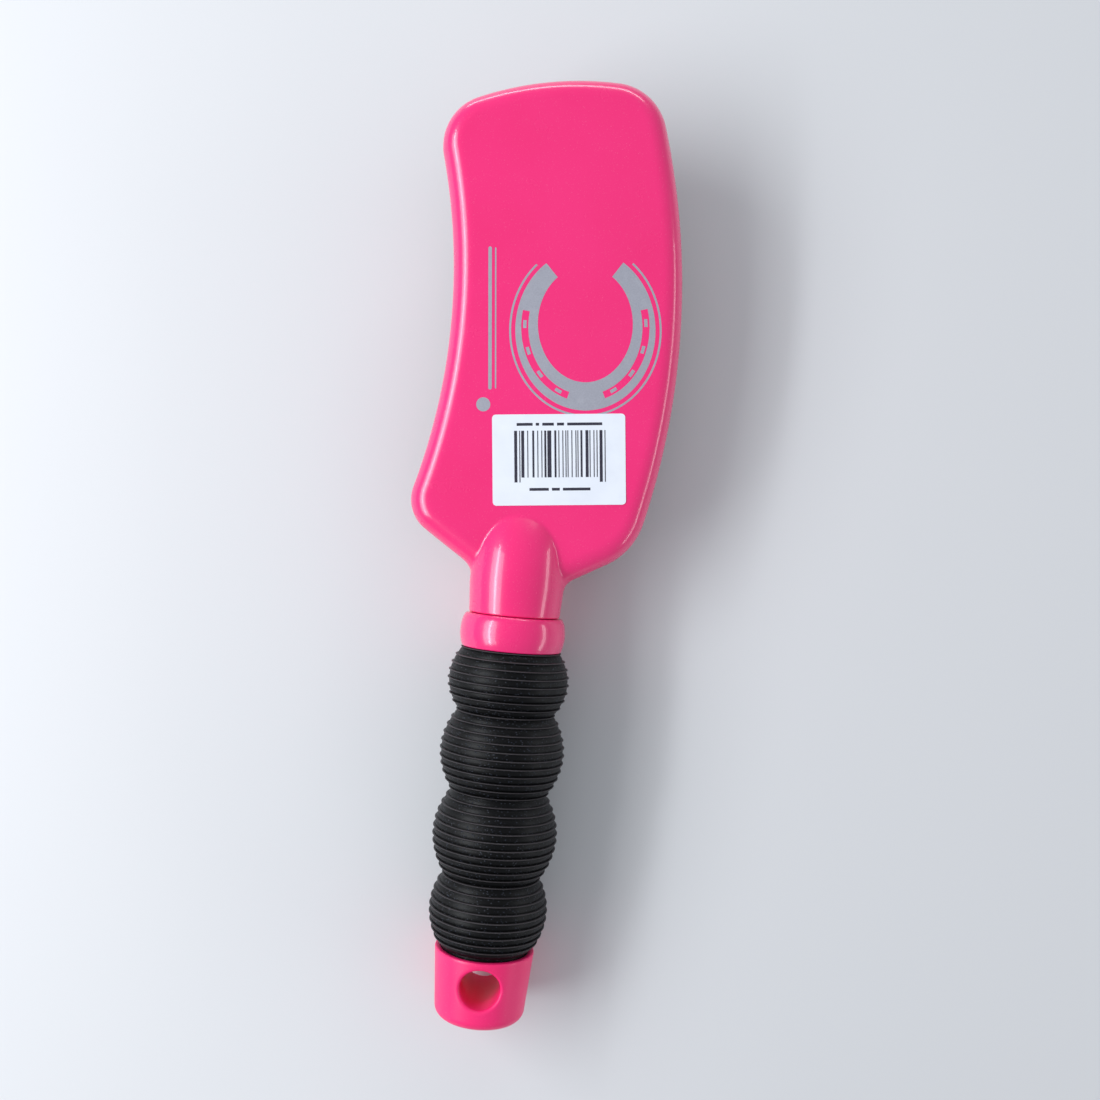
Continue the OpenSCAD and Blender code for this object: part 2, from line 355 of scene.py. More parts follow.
@dataclass(frozen=True)
class GripRubber:
    """Black rubber with a pebbled skin on its bands and a bare lip on each ring; the pebble tops are
    painted lighter as sheen, the hollows between them near black as painted shade, and the lips lighter
    as a painted highlight.
    """

    name: str = "grip_rubber"
    # Painted shade: the near-black colour of the hollows between pebbles. The top colour paints the
    # pebble tops lighter and bluish as a sheen.
    valley_shade: Colour = (0.0004, 0.0004, 0.0006)
    top: Colour = (0.030, 0.035, 0.052)
    worn: Colour = (0.050, 0.052, 0.064)
    # Painted highlight: each ring's lip is coloured lighter where it catches the light.
    lip: Colour = (0.066, 0.058, 0.062)
    pebble_mm: float = 0.80
    pebble_depth: float = 0.10

    def material(self) -> bpy.types.Material:
        """Builds the material.

        Returns:
            The finished material.
        """
        paint = Paint(self.name)
        lip = paint.out(paint.add("ShaderNodeAttribute", {"attribute_name": "lip"}), "Fac")
        band = 1 - lip
        wear = paint.noise(7.0, 3.0).band(0.45, 0.75)
        # The pebble mask paints the hollows between pebbles as shade and their tops as sheen, and it
        # also raises the bump.
        pebble = 1 - paint.pebbles(self.pebble_mm).band(0.05, 0.30)
        top = paint.mix(wear, self.top, self.worn)
        colour = paint.mix(pebble, self.valley_shade, top)
        # Paints each ring's lip lighter, a painted highlight.
        colour = paint.mix(lip * (0.8 + wear * 0.2), colour, self.lip)
        fold = paint.noise(0.34, 2.0)
        height = (pebble * 0.8 + fold * 0.4) * (band * 0.95 + 0.05)
        rough = 0.44 - pebble * band * 0.26 + wear * 0.04
        return paint.finish({
            "Base Color": colour, "Roughness": rough, "IOR": 1.45, "Specular IOR Level": 0.24,
            "Normal": paint.bump(height, self.pebble_depth),
        })


@dataclass(frozen=True)
class CushionRubber:
    """Soft black rubber sheet with a fine satin skin and a little dust."""

    name: str = "cushion_rubber"
    colour: Colour = (0.014, 0.014, 0.015)
    dust: Colour = (0.055, 0.052, 0.050)

    def material(self) -> bpy.types.Material:
        """Builds the material.

        Returns:
            The finished material.
        """
        paint = Paint(self.name)
        dust = paint.noise(5.0, 5.0).band(0.55, 0.8)
        colour = paint.mix(dust * 0.5, self.colour, self.dust)
        skin = paint.noise(0.25, 3.0)
        swell = paint.bump(paint.noise(4.0, 2.0), 0.03)
        return paint.finish({
            "Base Color": colour, "Roughness": 0.52 + dust * 0.2, "IOR": 1.5,
            "Normal": paint.bump(skin, 0.012, swell),
        })


@dataclass(frozen=True)
class PinNylon:
    """Black nylon, drawn along the pin, with slight scuffs."""

    name: str = "pin_nylon"
    colour: Colour = (0.016, 0.016, 0.018)
    scuffed: Colour = (0.045, 0.045, 0.048)

    def material(self) -> bpy.types.Material:
        """Builds the material.

        Returns:
            The finished material.
        """
        paint = Paint(self.name)
        drawn = paint.noise(0.3, 2.0, paint.stretched((1.0, 1.0, 0.08)))
        scuff = paint.noise(1.6, 3.0).band(0.55, 0.8)
        colour = paint.mix(scuff * 0.6, self.colour, self.scuffed)
        return paint.finish({
            "Base Color": colour, "Roughness": 0.26 + scuff * 0.18, "IOR": 1.53,
            "Normal": paint.bump(drawn, 0.008),
        })


@dataclass(frozen=True)
class LabelPaper:
    """Coated label paper with a faint fibre."""

    name: str = "label_paper"
    colour: Colour = (0.84, 0.87, 0.93)
    shade: Colour = (0.76, 0.79, 0.87)

    def material(self) -> bpy.types.Material:
        """Builds the material.

        Returns:
            The finished material.
        """
        paint = Paint(self.name)
        cloud = paint.noise(6.0, 3.0).band(0.35, 0.7)
        fibre = paint.noise(0.3, 4.0, paint.stretched((0.35, 1.0, 1.0)))
        colour = paint.mix(cloud * 0.5 + fibre * 0.3, self.colour, self.shade)
        return paint.finish({
            "Base Color": colour, "Roughness": 0.42 + fibre * 0.12, "IOR": 1.45,
            "Normal": paint.bump(fibre, 0.006),
        })


@dataclass(frozen=True)
class PrintInk:
    """A printed film: black toner, or silver with fine flakes."""

    name: str
    colour: Colour
    other: Colour
    metallic: float
    rough: float
    grain_mm: float = 0.3

    def material(self) -> bpy.types.Material:
        """Builds the material.

        Returns:
            The finished material.
        """
        paint = Paint(self.name)
        grain = paint.noise(self.grain_mm, 3.0).band(0.3, 0.7)
        thin = paint.noise(3.0, 3.0).band(0.5, 0.8)
        colour = paint.mix(grain * 0.7 + thin * 0.3, self.colour, self.other)
        return paint.finish({
            "Base Color": colour, "Metallic": self.metallic, "Roughness": self.rough + grain * 0.1,
            "IOR": 1.5, "Normal": paint.bump(grain, 0.004),
        })


@dataclass(frozen=True)
class PaleFloor:
    """A plain pale studio floor."""

    name: str = "pale_floor"
    colour: Colour = (0.70, 0.70, 0.71)
    cloud: Colour = (0.66, 0.66, 0.67)
    cloud_mm: float = 60.0

    def material(self) -> bpy.types.Material:
        """Builds the material.

        Returns:
            The finished material.
        """
        paint = Paint(self.name)
        colour = paint.mix(paint.noise(self.cloud_mm, 2.0) * 0.12, self.colour, self.cloud)
        return paint.finish({"Base Color": colour, "Roughness": 0.75})


GLOSS_PINK = MouldedPlastic("gloss_pink", (0.93, 0.020, 0.192), (0.90, 0.016, 0.174), 0.24, 0.55)
SATIN_PINK = MouldedPlastic("satin_pink", (0.98, 0.020, 0.180), (0.95, 0.015, 0.158), 0.36, 0.0,
                            2.4, 0.006, 0.08)
TONER = PrintInk("label_toner", (0.012, 0.010, 0.022), (0.05, 0.045, 0.075), 0.0, 0.45)
SILVER = PrintInk("silver_print", (0.40, 0.40, 0.46), (0.50, 0.50, 0.56), 0.45, 0.40, 0.35)


# ---------------------------------------------------------------- meshes


def mesh_of(name: str, points: Iterable[Any], faces: Iterable[Any]) -> bpy.types.Mesh:
    """A mesh from points and faces.

    Args:
        name: the mesh's name.
        points: its points.
        faces: the point numbers of each face.

    Returns:
        The mesh.
    """
    mesh = bpy.data.meshes.new(name)
    mesh.from_pydata([tuple(p) for p in points], [], [tuple(f) for f in faces])
    mesh.validate()
    return mesh


def soften(mesh: bpy.types.Mesh, crease_deg: float = 38.0) -> None:
    """Shades a mesh smooth, apart from its creases.

    Args:
        mesh: the mesh to shade.
        crease_deg: the bend from which an edge stays sharp, in degrees.
    """
    work = bmesh.new()
    work.from_mesh(mesh)
    for face in work.faces:
        face.smooth = True
    limit = math.radians(crease_deg)
    for edge in work.edges:
        edge.smooth = len(edge.link_faces) == 2 and edge.calc_face_angle(0.0) < limit
    work.to_mesh(mesh)
    work.free()


def face_outwards(mesh: bpy.types.Mesh, weld: float = 1e-4) -> None:
    """Merges a closed mesh's doubles and turns its faces outwards.

    Args:
        mesh: a closed mesh.
        weld: points this close are merged.
    """
    work = bmesh.new()
    work.from_mesh(mesh)
    bmesh.ops.remove_doubles(work, verts=work.verts, dist=weld)
    bmesh.ops.recalc_face_normals(work, faces=work.faces)
    if work.calc_volume(signed=True) < 0:
        bmesh.ops.reverse_faces(work, faces=work.faces)
    work.to_mesh(mesh)
    work.free()


def lathe(name: str, profile: Sequence[Pair], segments: int) -> bpy.types.Mesh:
    """Turns a closed profile round the handle's axis.

    Args:
        name: the mesh's name.
        profile: (radius, place along the handle) round the section, the last joined to
            the first. A radius of 0 makes a pole.
        segments: steps round the axis.

    Returns:
        A closed mesh.
    """
    around = np.arange(segments) * TURN / segments
    rings = [np.column_stack((r * np.cos(around), np.full(segments, y), r * np.sin(around)))
             for r, y in profile]
    step = np.arange(segments)
    beside = (step + 1) % segments
    faces: list[Any] = []
    for k, (a, b) in enumerate(zip(profile, [*profile[1:], profile[0]])):
        if a[0] == 0 and b[0] == 0:
            continue
        j = (k + 1) % len(profile)
        faces += np.column_stack((k * segments + step, k * segments + beside,
                                  j * segments + beside, j * segments + step)).tolist()
    mesh = mesh_of(name, np.vstack(rings), faces)
    face_outwards(mesh)
    return mesh


def ring_skin(name: str, rings: Sequence[Points]) -> bpy.types.Mesh:
    """A closed mesh through rings of the same number of points.

    Args:
        name: the mesh's name.
        rings: the rings, from one end to the other.

    Returns:
        A closed mesh with flat ends.
    """
    n = len(rings[0])
    step = np.arange(n)
    beside = (step + 1) % n
    faces: list[Any] = [step[::-1].tolist(), (step + n * (len(rings) - 1)).tolist()]
    for k in range(len(rings) - 1):
        low, high = k * n, (k + 1) * n
        faces += np.column_stack((low + step, low + beside, high + beside, high + step)).tolist()
    mesh = mesh_of(name, np.vstack(rings), faces)
    face_outwards(mesh, FINE_WELD)
    return mesh


def bare_object(mesh: bpy.types.Mesh) -> bpy.types.Object:
    """An object at the origin that holds a mesh.

    Args:
        mesh: the mesh.

    Returns:
        The object, unturned and unscaled.
    """
    thing = bpy.data.objects.new(mesh.name, mesh)
    bpy.context.scene.collection.objects.link(thing)
    return thing


def evaluated_mesh(thing: bpy.types.Object, name: str) -> bpy.types.Mesh:
    """The plain mesh that an object's modifiers make. The object is then removed.

    Args:
        thing: the object.
        name: the mesh's name.

    Returns:
        The plain mesh.
    """
    graph = bpy.context.evaluated_depsgraph_get()
    mesh = bpy.data.meshes.new_from_object(
        thing.evaluated_get(graph), preserve_all_data_layers=True, depsgraph=graph)
    mesh.name = name
    bpy.data.objects.remove(thing)
    return mesh


def carve(mesh: bpy.types.Mesh, cutter: bpy.types.Mesh) -> bpy.types.Mesh:
    """Cuts one closed mesh out of another. Both are used up.

    Args:
        mesh: the mesh to cut.
        cutter: the shape to take away.

    Returns:
        The cut mesh, under the first mesh's name.
    """
    name = mesh.name
    thing, tool = bare_object(mesh), bare_object(cutter)
    cut = thing.modifiers.new("cut", "BOOLEAN")
    cut.operation, cut.solver, cut.object = "DIFFERENCE", "EXACT", tool
    result = evaluated_mesh(thing, name)
    bpy.data.objects.remove(tool)
    for used in (mesh, cutter):
        bpy.data.meshes.remove(used)
    result.name = name
    return result


def install(mesh: bpy.types.Mesh, where: BrushFrame, body: str, slot: Slot,
            finish: bpy.types.Material, stands_for: Sequence[str] = ()) -> bpy.types.Object:
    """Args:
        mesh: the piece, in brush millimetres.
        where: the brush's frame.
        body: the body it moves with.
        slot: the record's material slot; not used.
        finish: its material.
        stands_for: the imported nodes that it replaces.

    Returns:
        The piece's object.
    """
    mesh.transform(where.matrix())
    mesh.materials.clear()
    mesh.materials.append(finish)
    soften(mesh)
    piece = bare_object(mesh)
    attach(piece, body)
    if stands_for:
        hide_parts(*stands_for)
    log.info("%s: %d faces on %s", piece.name, len(mesh.polygons), body)
    return piece


# ---------------------------------------------------------------- moulded solids


def round_max(a: Any, b: Any, radius: float) -> np.ndarray:
    """Where two solids meet, with the edge between them rounded."""
    corner = np.hypot(np.maximum(a + radius, 0), np.maximum(b + radius, 0))
    return np.minimum(np.maximum(a, b), -radius) + corner


def smooth_min(a: np.ndarray, b: np.ndarray, blend: float) -> np.ndarray:
    """Two solids joined, with a fillet in the corner between them."""
    share = np.clip(0.5 + 0.5 * (b - a) / blend, 0, 1)
    return b + (a - b) * share - blend * share * (1 - share)


def spaced(low: float, high: float, step: float) -> np.ndarray:
    """Even places from low to at least high."""
    return low + step * np.arange(math.ceil((high - low) / step) + 1)


@dataclass(frozen=True)
class Moulding:
    """A solid given by its signed distance, and the even quad skin over it."""

    field: Field
    axes: tuple[np.ndarray, np.ndarray, np.ndarray]
    rounds: int = 4
    ease: float = 0.6
    probe: float = 0.02
    least_slope: float = 0.05

    @classmethod
    def in_box(cls, solid: Field, low: Sequence[float], high: Sequence[float],
               step: float) -> "Moulding":
        """A moulding sampled evenly in a box."""
        return cls(solid, tuple(spaced(a, b, step) for a, b in zip(low, high)))

    @property
    def step(self) -> float:
        """The widest spacing of the samples."""
        return max(float(np.diff(axis).max()) for axis in self.axes)

    def skin(self, name: str) -> bpy.types.Mesh:
        """Builds the skin.

        Args:
            name: the mesh's name.

        Returns:
            A quad mesh whose points lie on the solid's surface. It is open only where
            the solid runs out of the sampled box.
        """
        grid = np.stack(np.meshgrid(*self.axes, indexing="ij"), -1).reshape(-1, 3)
        values = self.field(grid).reshape([len(axis) for axis in self.axes])
        places, quads = self._net(values)
        points = np.column_stack([
            np.interp(places[:, k], np.arange(len(axis)), axis) for k, axis in enumerate(self.axes)])
        edges, held = self._edges(quads)
        for _ in range(self.rounds):
            points = self._even(points, edges, held)
            points = self._onto_surface(points)
        points = self._onto_surface(points)
        return mesh_of(name, points, quads.tolist())

    @staticmethod
    def _net(values: np.ndarray) -> tuple[Points, np.ndarray]:
        """One point in each cell that the surface crosses, and a quad over each crossed edge.

        Args:
            values: the field at every sample, negative inside.

        Returns:
            The points, in samples, and the four point numbers of each quad.
        """
        solid = values < 0
        size = np.array(values.shape)
        filled = sum(
            solid[tuple(slice(c, n - 1 + c) for c, n in zip(corner, size))].astype(np.int8)
            for corner in itertools.product((0, 1), repeat=3))
        active = (filled > 0) & (filled < 8)
        cells = np.argwhere(active)
        number = np.full(active.shape, -1)
        number[active] = np.arange(len(cells))
        total, hits = np.zeros((len(cells), 3)), np.zeros(len(cells))
        quads = []
        for axis in range(3):
            beside, above = (axis + 1) % 3, (axis + 2) % 3
            for shift in itertools.product((0, 1), repeat=2):
                start = cells.copy()
                start[:, beside] += shift[0]
                start[:, above] += shift[1]
                end = start.copy()
                end[:, axis] += 1
                a, b = values[tuple(start.T)], values[tuple(end.T)]
                crossed = (a < 0) != (b < 0)
                point = start.astype(float)
                point[:, axis] += np.divide(a, a - b, out=np.zeros_like(a), where=crossed)
                total += point * crossed[:, None]
                hits += crossed
            head = [slice(None)] * 3
            tail = [slice(None)] * 3
            head[axis], tail[axis] = slice(0, -1), slice(1, None)
            at = np.argwhere(solid[tuple(head)] != solid[tuple(tail)])
            inside = np.ones(len(at), bool)
            for k in (beside, above):
                inside &= (at[:, k] > 0) & (at[:, k] < size[k] - 1)
            at = at[inside]
            quad = []
            for left, down in ((1, 1), (0, 1), (0, 0), (1, 0)):
                cell = at.copy()
                cell[:, beside] -= left
                cell[:, above] -= down
                quad.append(number[tuple(cell.T)])
            quad = np.column_stack(quad)
            behind = ~solid[tuple(at.T)]
            quad[behind] = quad[behind, ::-1]
            quads.append(quad)
        return total / hits[:, None], np.vstack(quads)

    @staticmethod
    def _edges(quads: np.ndarray) -> tuple[np.ndarray, np.ndarray]:
        """The skin's edges, and the points on its open rim.

        Args:
            quads: the point numbers of each quad.

        Returns:
            The two ends of each edge, and the point numbers of the rim.
        """
        sides = np.vstack([quads[:, [k, (k + 1) % 4]] for k in range(4)])
        edges, uses = np.unique(np.sort(sides, 1), axis=0, return_counts=True)
        return edges, np.unique(edges[uses == 1])

    def _even(self, points: Points, edges: np.ndarray, held: np.ndarray) -> Points:
        """Moves each point towards the middle of its neighbours.

        Args:
            points: the skin's points.
            edges: the two ends of each edge.
            held: points that stay where they are.

        Returns:
            The moved points.
        """
        ends = np.concatenate((edges[:, 0], edges[:, 1]))
        others = np.concatenate((edges[:, 1], edges[:, 0]))
        count = np.bincount(ends, minlength=len(points)).astype(float)
        middle = np.column_stack([
            np.bincount(ends, weights=points[others, k], minlength=len(points)) / count
            for k in range(3)])
        moved = points + self.ease * (middle - points)
        moved[held] = points[held]
        return moved

    def _onto_surface(self, points: Points) -> Points:
        """Moves each point along the field's slope onto the surface.

        Args:
            points: the skin's points.

        Returns:
            The moved points.
        """
        reach = self.probe
        slope = np.column_stack([
            (self.field(points + reach * e) - self.field(points - reach * e)) / (2 * reach)
            for e in np.eye(3)])
        steep = np.maximum((slope ** 2).sum(1), self.least_slope)
        shift = self.field(points) / steep
        return points - np.clip(shift, -self.step, self.step)[:, None] * slope


# ---------------------------------------------------------------- head outline


@dataclass(frozen=True)
class Side:
    """One side of the outline, and the rounded corner after it."""

    centre: Pair
    radius: float
    hollow: bool
    corner: float
    near: Pair

    def reach(self, inwards: float) -> float:
        """The side's radius when the outline moves inwards."""
        return self.radius + inwards if self.hollow else self.radius - inwards


@dataclass(frozen=True)
class Arc:
    """A stretch of the outline: centre, radius, and the bearings it runs between."""

    centre: Points
    radius: float
    hollow: bool
    start: float
    sweep: float
    steps: int

    def depth(self, x: np.ndarray, y: np.ndarray) -> np.ndarray:
        """Signed distance inside this arc, or a huge one beside its ends.

        Args:
            x: places across.
            y: places along the handle.

        Returns:
            Distances in millimetres, positive inside.
        """
        dx, dy = x - self.centre[0], y - self.centre[1]
        turn = np.arctan2(dy, dx) - self.start
        turn = np.mod(turn if self.sweep > 0 else -turn, TURN)
        slack = 1e-6
        beside = (turn > abs(self.sweep) + slack) & (turn < TURN - slack)
        inside = self.radius - np.hypot(dx, dy)
        return np.where(beside, FAR, -inside if self.hollow else inside)

    def loop(self, inwards: float) -> Points:
        """Points along this arc, moved inwards.

        Args:
            inwards: how far the outline moves inwards.

        Returns:
            The points, x and y.
        """
        angle = self.start + self.sweep * np.arange(self.steps) / self.steps
        radius = self.radius + inwards if self.hollow else self.radius - inwards
        return self.centre + radius * np.column_stack((np.cos(angle), np.sin(angle)))


def crossing(a: Points, ra: float, b: Points, rb: float, near: Pair) -> Points:
    """The point near a hint where two circles cross.

    Args:
        a: the first circle's centre.
        ra: its radius.
        b: the second circle's centre.
        rb: its radius.
        near: a place near the crossing that is wanted.

    Returns:
        The crossing.
    """
    gap = b - a
    apart = np.hypot(*gap)
    along = (ra * ra - rb * rb + apart * apart) / (2 * apart)
    across = math.sqrt(max(0.0, ra * ra - along * along))
    u = gap / apart
    side = np.array((-u[1], u[0])) * across
    return min((a + along * u + side, a + along * u - side),
               key=lambda p: np.hypot(*(p - np.array(near))))


@dataclass(frozen=True)
class HeadOutline:
    """The curved paddle's outline, a closed chain of tangent arcs."""

    top: tuple[float, float, float] = (12.5, 147.2, 87.7)
    right: tuple[float, float, float] = (38.6, 75.7, 208.0)
    left: tuple[float, float, float] = (-24.4, 78.4, 171.0)
    left_shoulder: Pair = (239.0, -3.6)
    right_shoulder: Pair = (297.0, -2.5)
    corners: tuple[float, float, float, float] = (15.0, 14.0, 10.4, 19.0)
    straight: float = 600.0
    side_steps: tuple[int, ...] = (14, 10, 14, 3, 2, 3)
    corner_steps: int = 6

    def _facing(self, angle: float, reach: float) -> Pair:
        """The centre of the large circle that draws a straight shoulder."""
        a = math.radians(angle)
        return ((reach - self.straight) * math.cos(a), (reach - self.straight) * math.sin(a))

    def arcs(self, bottom_y: float, bottom_corner: float, fine: int = 1) -> list[Arc]:
        """The outline's arcs.

        Args:
            bottom_y: where the outline closes across the neck.
            bottom_corner: radius of the two corners there.
            fine: how much finer than the coarsest division the loops are.

        Returns:
            The arcs, anticlockwise from the right side.
        """
        tr, tl, bl, br = self.corners
        sides = [
            Side((self.right[0] - self.right[2], self.right[1]), self.right[2], False, tr, (20, 130)),
            Side((self.top[0], self.top[1] - self.top[2]), self.top[2], False, tl, (-18, 130)),
            Side((self.left[0] - self.left[2], self.left[1]), self.left[2], True, bl, (-20, 30)),
            Side(self._facing(*self.left_shoulder), self.straight, False,
                 bottom_corner, (-6, bottom_y + 6)),
            Side((0, bottom_y + self.straight), self.straight, False,
                 bottom_corner, (6, bottom_y + 6)),
            Side(self._facing(*self.right_shoulder), self.straight, False, br, (18, 35)),
        ]
        after = sides[1:] + sides[:1]
        centres = [
            crossing(np.array(a.centre), a.reach(a.corner), np.array(b.centre),
                     b.reach(a.corner), a.near)
            for a, b in zip(sides, after)]
        chain: list[Arc] = []
        for k, (side, following) in enumerate(zip(sides, after)):
            here = np.array(side.centre)
            before, corner = centres[k - 1], centres[k]
            chain.append(self._arc(here, side.radius, side.hollow,
                                   before - here, corner - here, self.side_steps[k] * fine))
            out = (corner - here) * (-1 if side.hollow else 1)
            to = (corner - np.array(following.centre)) * (-1 if following.hollow else 1)
            chain.append(self._arc(corner, side.corner, False, out, to, self.corner_steps * fine))
        return chain

    @staticmethod
    def _arc(centre: Points, radius: float, hollow: bool, a: Points, b: Points,
             steps: int) -> Arc:
        """An arc between two directions, the short way round.

        Args:
            centre: the arc's centre.
            radius: its radius.
            hollow: whether the outline bends inwards here.
            a: the direction from the centre to the start.
            b: the direction from the centre to the end.
            steps: how many steps a loop takes along it.

        Returns:
            The arc.
        """
        start, end = math.atan2(a[1], a[0]), math.atan2(b[1], b[0])
        sweep = (end - start + math.pi) % TURN - math.pi
        return Arc(centre, radius, hollow, start, sweep, steps)

    @staticmethod
    def depth(arcs: Sequence[Arc], points: Points) -> np.ndarray:
        """How far points lie inside the outline, negative outside.

        Args:
            arcs: the outline.
            points: places to measure.

        Returns:
            Distances in millimetres, positive inside.
        """
        best = np.full(len(points), FAR)
        for arc in arcs:
            found = arc.depth(points[:, 0], points[:, 1])
            best = np.where(np.abs(found) < np.abs(best), found, best)
        return best

    @staticmethod
    def loop(arcs: Sequence[Arc], inwards: float, z: float) -> Points:
        """The outline, moved inwards, at a height."""
        flat = np.vstack([arc.loop(inwards) for arc in arcs])
        return np.column_stack((flat, np.full(len(flat), z)))

    def left_at(self, y: float) -> float:
        """The hollow left side's place at a height up the handle."""
        x, middle, radius = self.left
        return x - radius + math.sqrt(radius ** 2 - (y - middle) ** 2)

    def right_at(self, y: float) -> float:
        """The bulging right side's place at a height up the handle."""
        x, middle, radius = self.right
        return x - radius + math.sqrt(radius ** 2 - (y - middle) ** 2)


# ---------------------------------------------------------------- geometry node trees


class GrowthTree(Board):
    """A geometry node tree with named inputs."""

    def __init__(self, name: str, inputs: dict[str, tuple[str, Any]]) -> None:
        """Starts a tree.

        Args:
            name: the tree's name.
            inputs: each input's socket type and default value, by name.
        """
        super().__init__(bpy.data.node_groups.new(name, "GeometryNodeTree"))
        face = self.tree.interface
        face.new_socket(name="Geometry", in_out="INPUT", socket_type="NodeSocketGeometry")
        for title, (kind, default) in inputs.items():
            socket = face.new_socket(name=title, in_out="INPUT", socket_type=kind)
            if default is not None:
                socket.default_value = default
        face.new_socket(name="Geometry", in_out="OUTPUT", socket_type="NodeSocketGeometry")
        self.source = self.add("NodeGroupInput")

    def given(self, name: str) -> Wire:
        """One of the tree's inputs."""
        return self.out(self.source, name)

    def close(self, shape: Wire) -> None:
        """Ends the tree: instances made real, the material set.

        Args:
            shape: the geometry that the tree has made.
        """
        real = self.add("GeometryNodeRealizeInstances", None, {"Geometry": shape})
        dressed = self.add("GeometryNodeSetMaterial", None,
                           {"Geometry": self.out(real), "Material": self.given("Material")})
        self.add("NodeGroupOutput", None, {"Geometry": self.out(dressed)})

    def grow(self, name: str, base: bpy.types.Mesh, values: dict[str, Any]) -> bpy.types.Mesh:
        """Runs the tree on a mesh.

        Args:
            name: the result's name.
            base: the mesh that the tree starts from.
            values: the inputs that differ from their defaults.

        Returns:
            The plain mesh that it makes.
        """
        thing = bare_object(base)
        growth = thing.modifiers.new(self.tree.name, "NODES")
        growth.node_group = self.tree
        for socket in self.tree.interface.items_tree:
            if socket.in_out == "INPUT" and socket.name in values:
                growth[socket.identifier] = values[socket.name]
        return evaluated_mesh(thing, name)


def planting_tree() -> GrowthTree:
    """Plants a form on every point, each leaning a little its own way.

    Returns:
        The tree.
    """
    tree = GrowthTree("planting", {
        "Form": ("NodeSocketObject", None), "Lean": ("NodeSocketFloat", 0.0),
        "Seed": ("NodeSocketInt", 0), "Material": ("NodeSocketMaterial", None)})
    form = tree.add("GeometryNodeObjectInfo", None, {"Object": tree.given("Form")})
    lean = tree.given("Lean")
    low = tree.add("ShaderNodeCombineXYZ", None, {"X": 0 - lean, "Y": 0 - lean, "Z": 0.0})
    high = tree.add("ShaderNodeCombineXYZ", None, {"X": lean, "Y": lean, "Z": TURN})
    turn = tree.add("FunctionNodeRandomValue", {"data_type": "FLOAT_VECTOR"}, {
        "Min": tree.out(low), "Max": tree.out(high), "Seed": tree.given("Seed")})
    planted = tree.add("GeometryNodeInstanceOnPoints", None, {
        "Points": tree.given("Geometry"), "Instance": tree.out(form, "Geometry"),
        "Rotation": tree.out(turn, 0)})
    tree.close(tree.out(planted))
    return tree


# ---------------------------------------------------------------- brush body


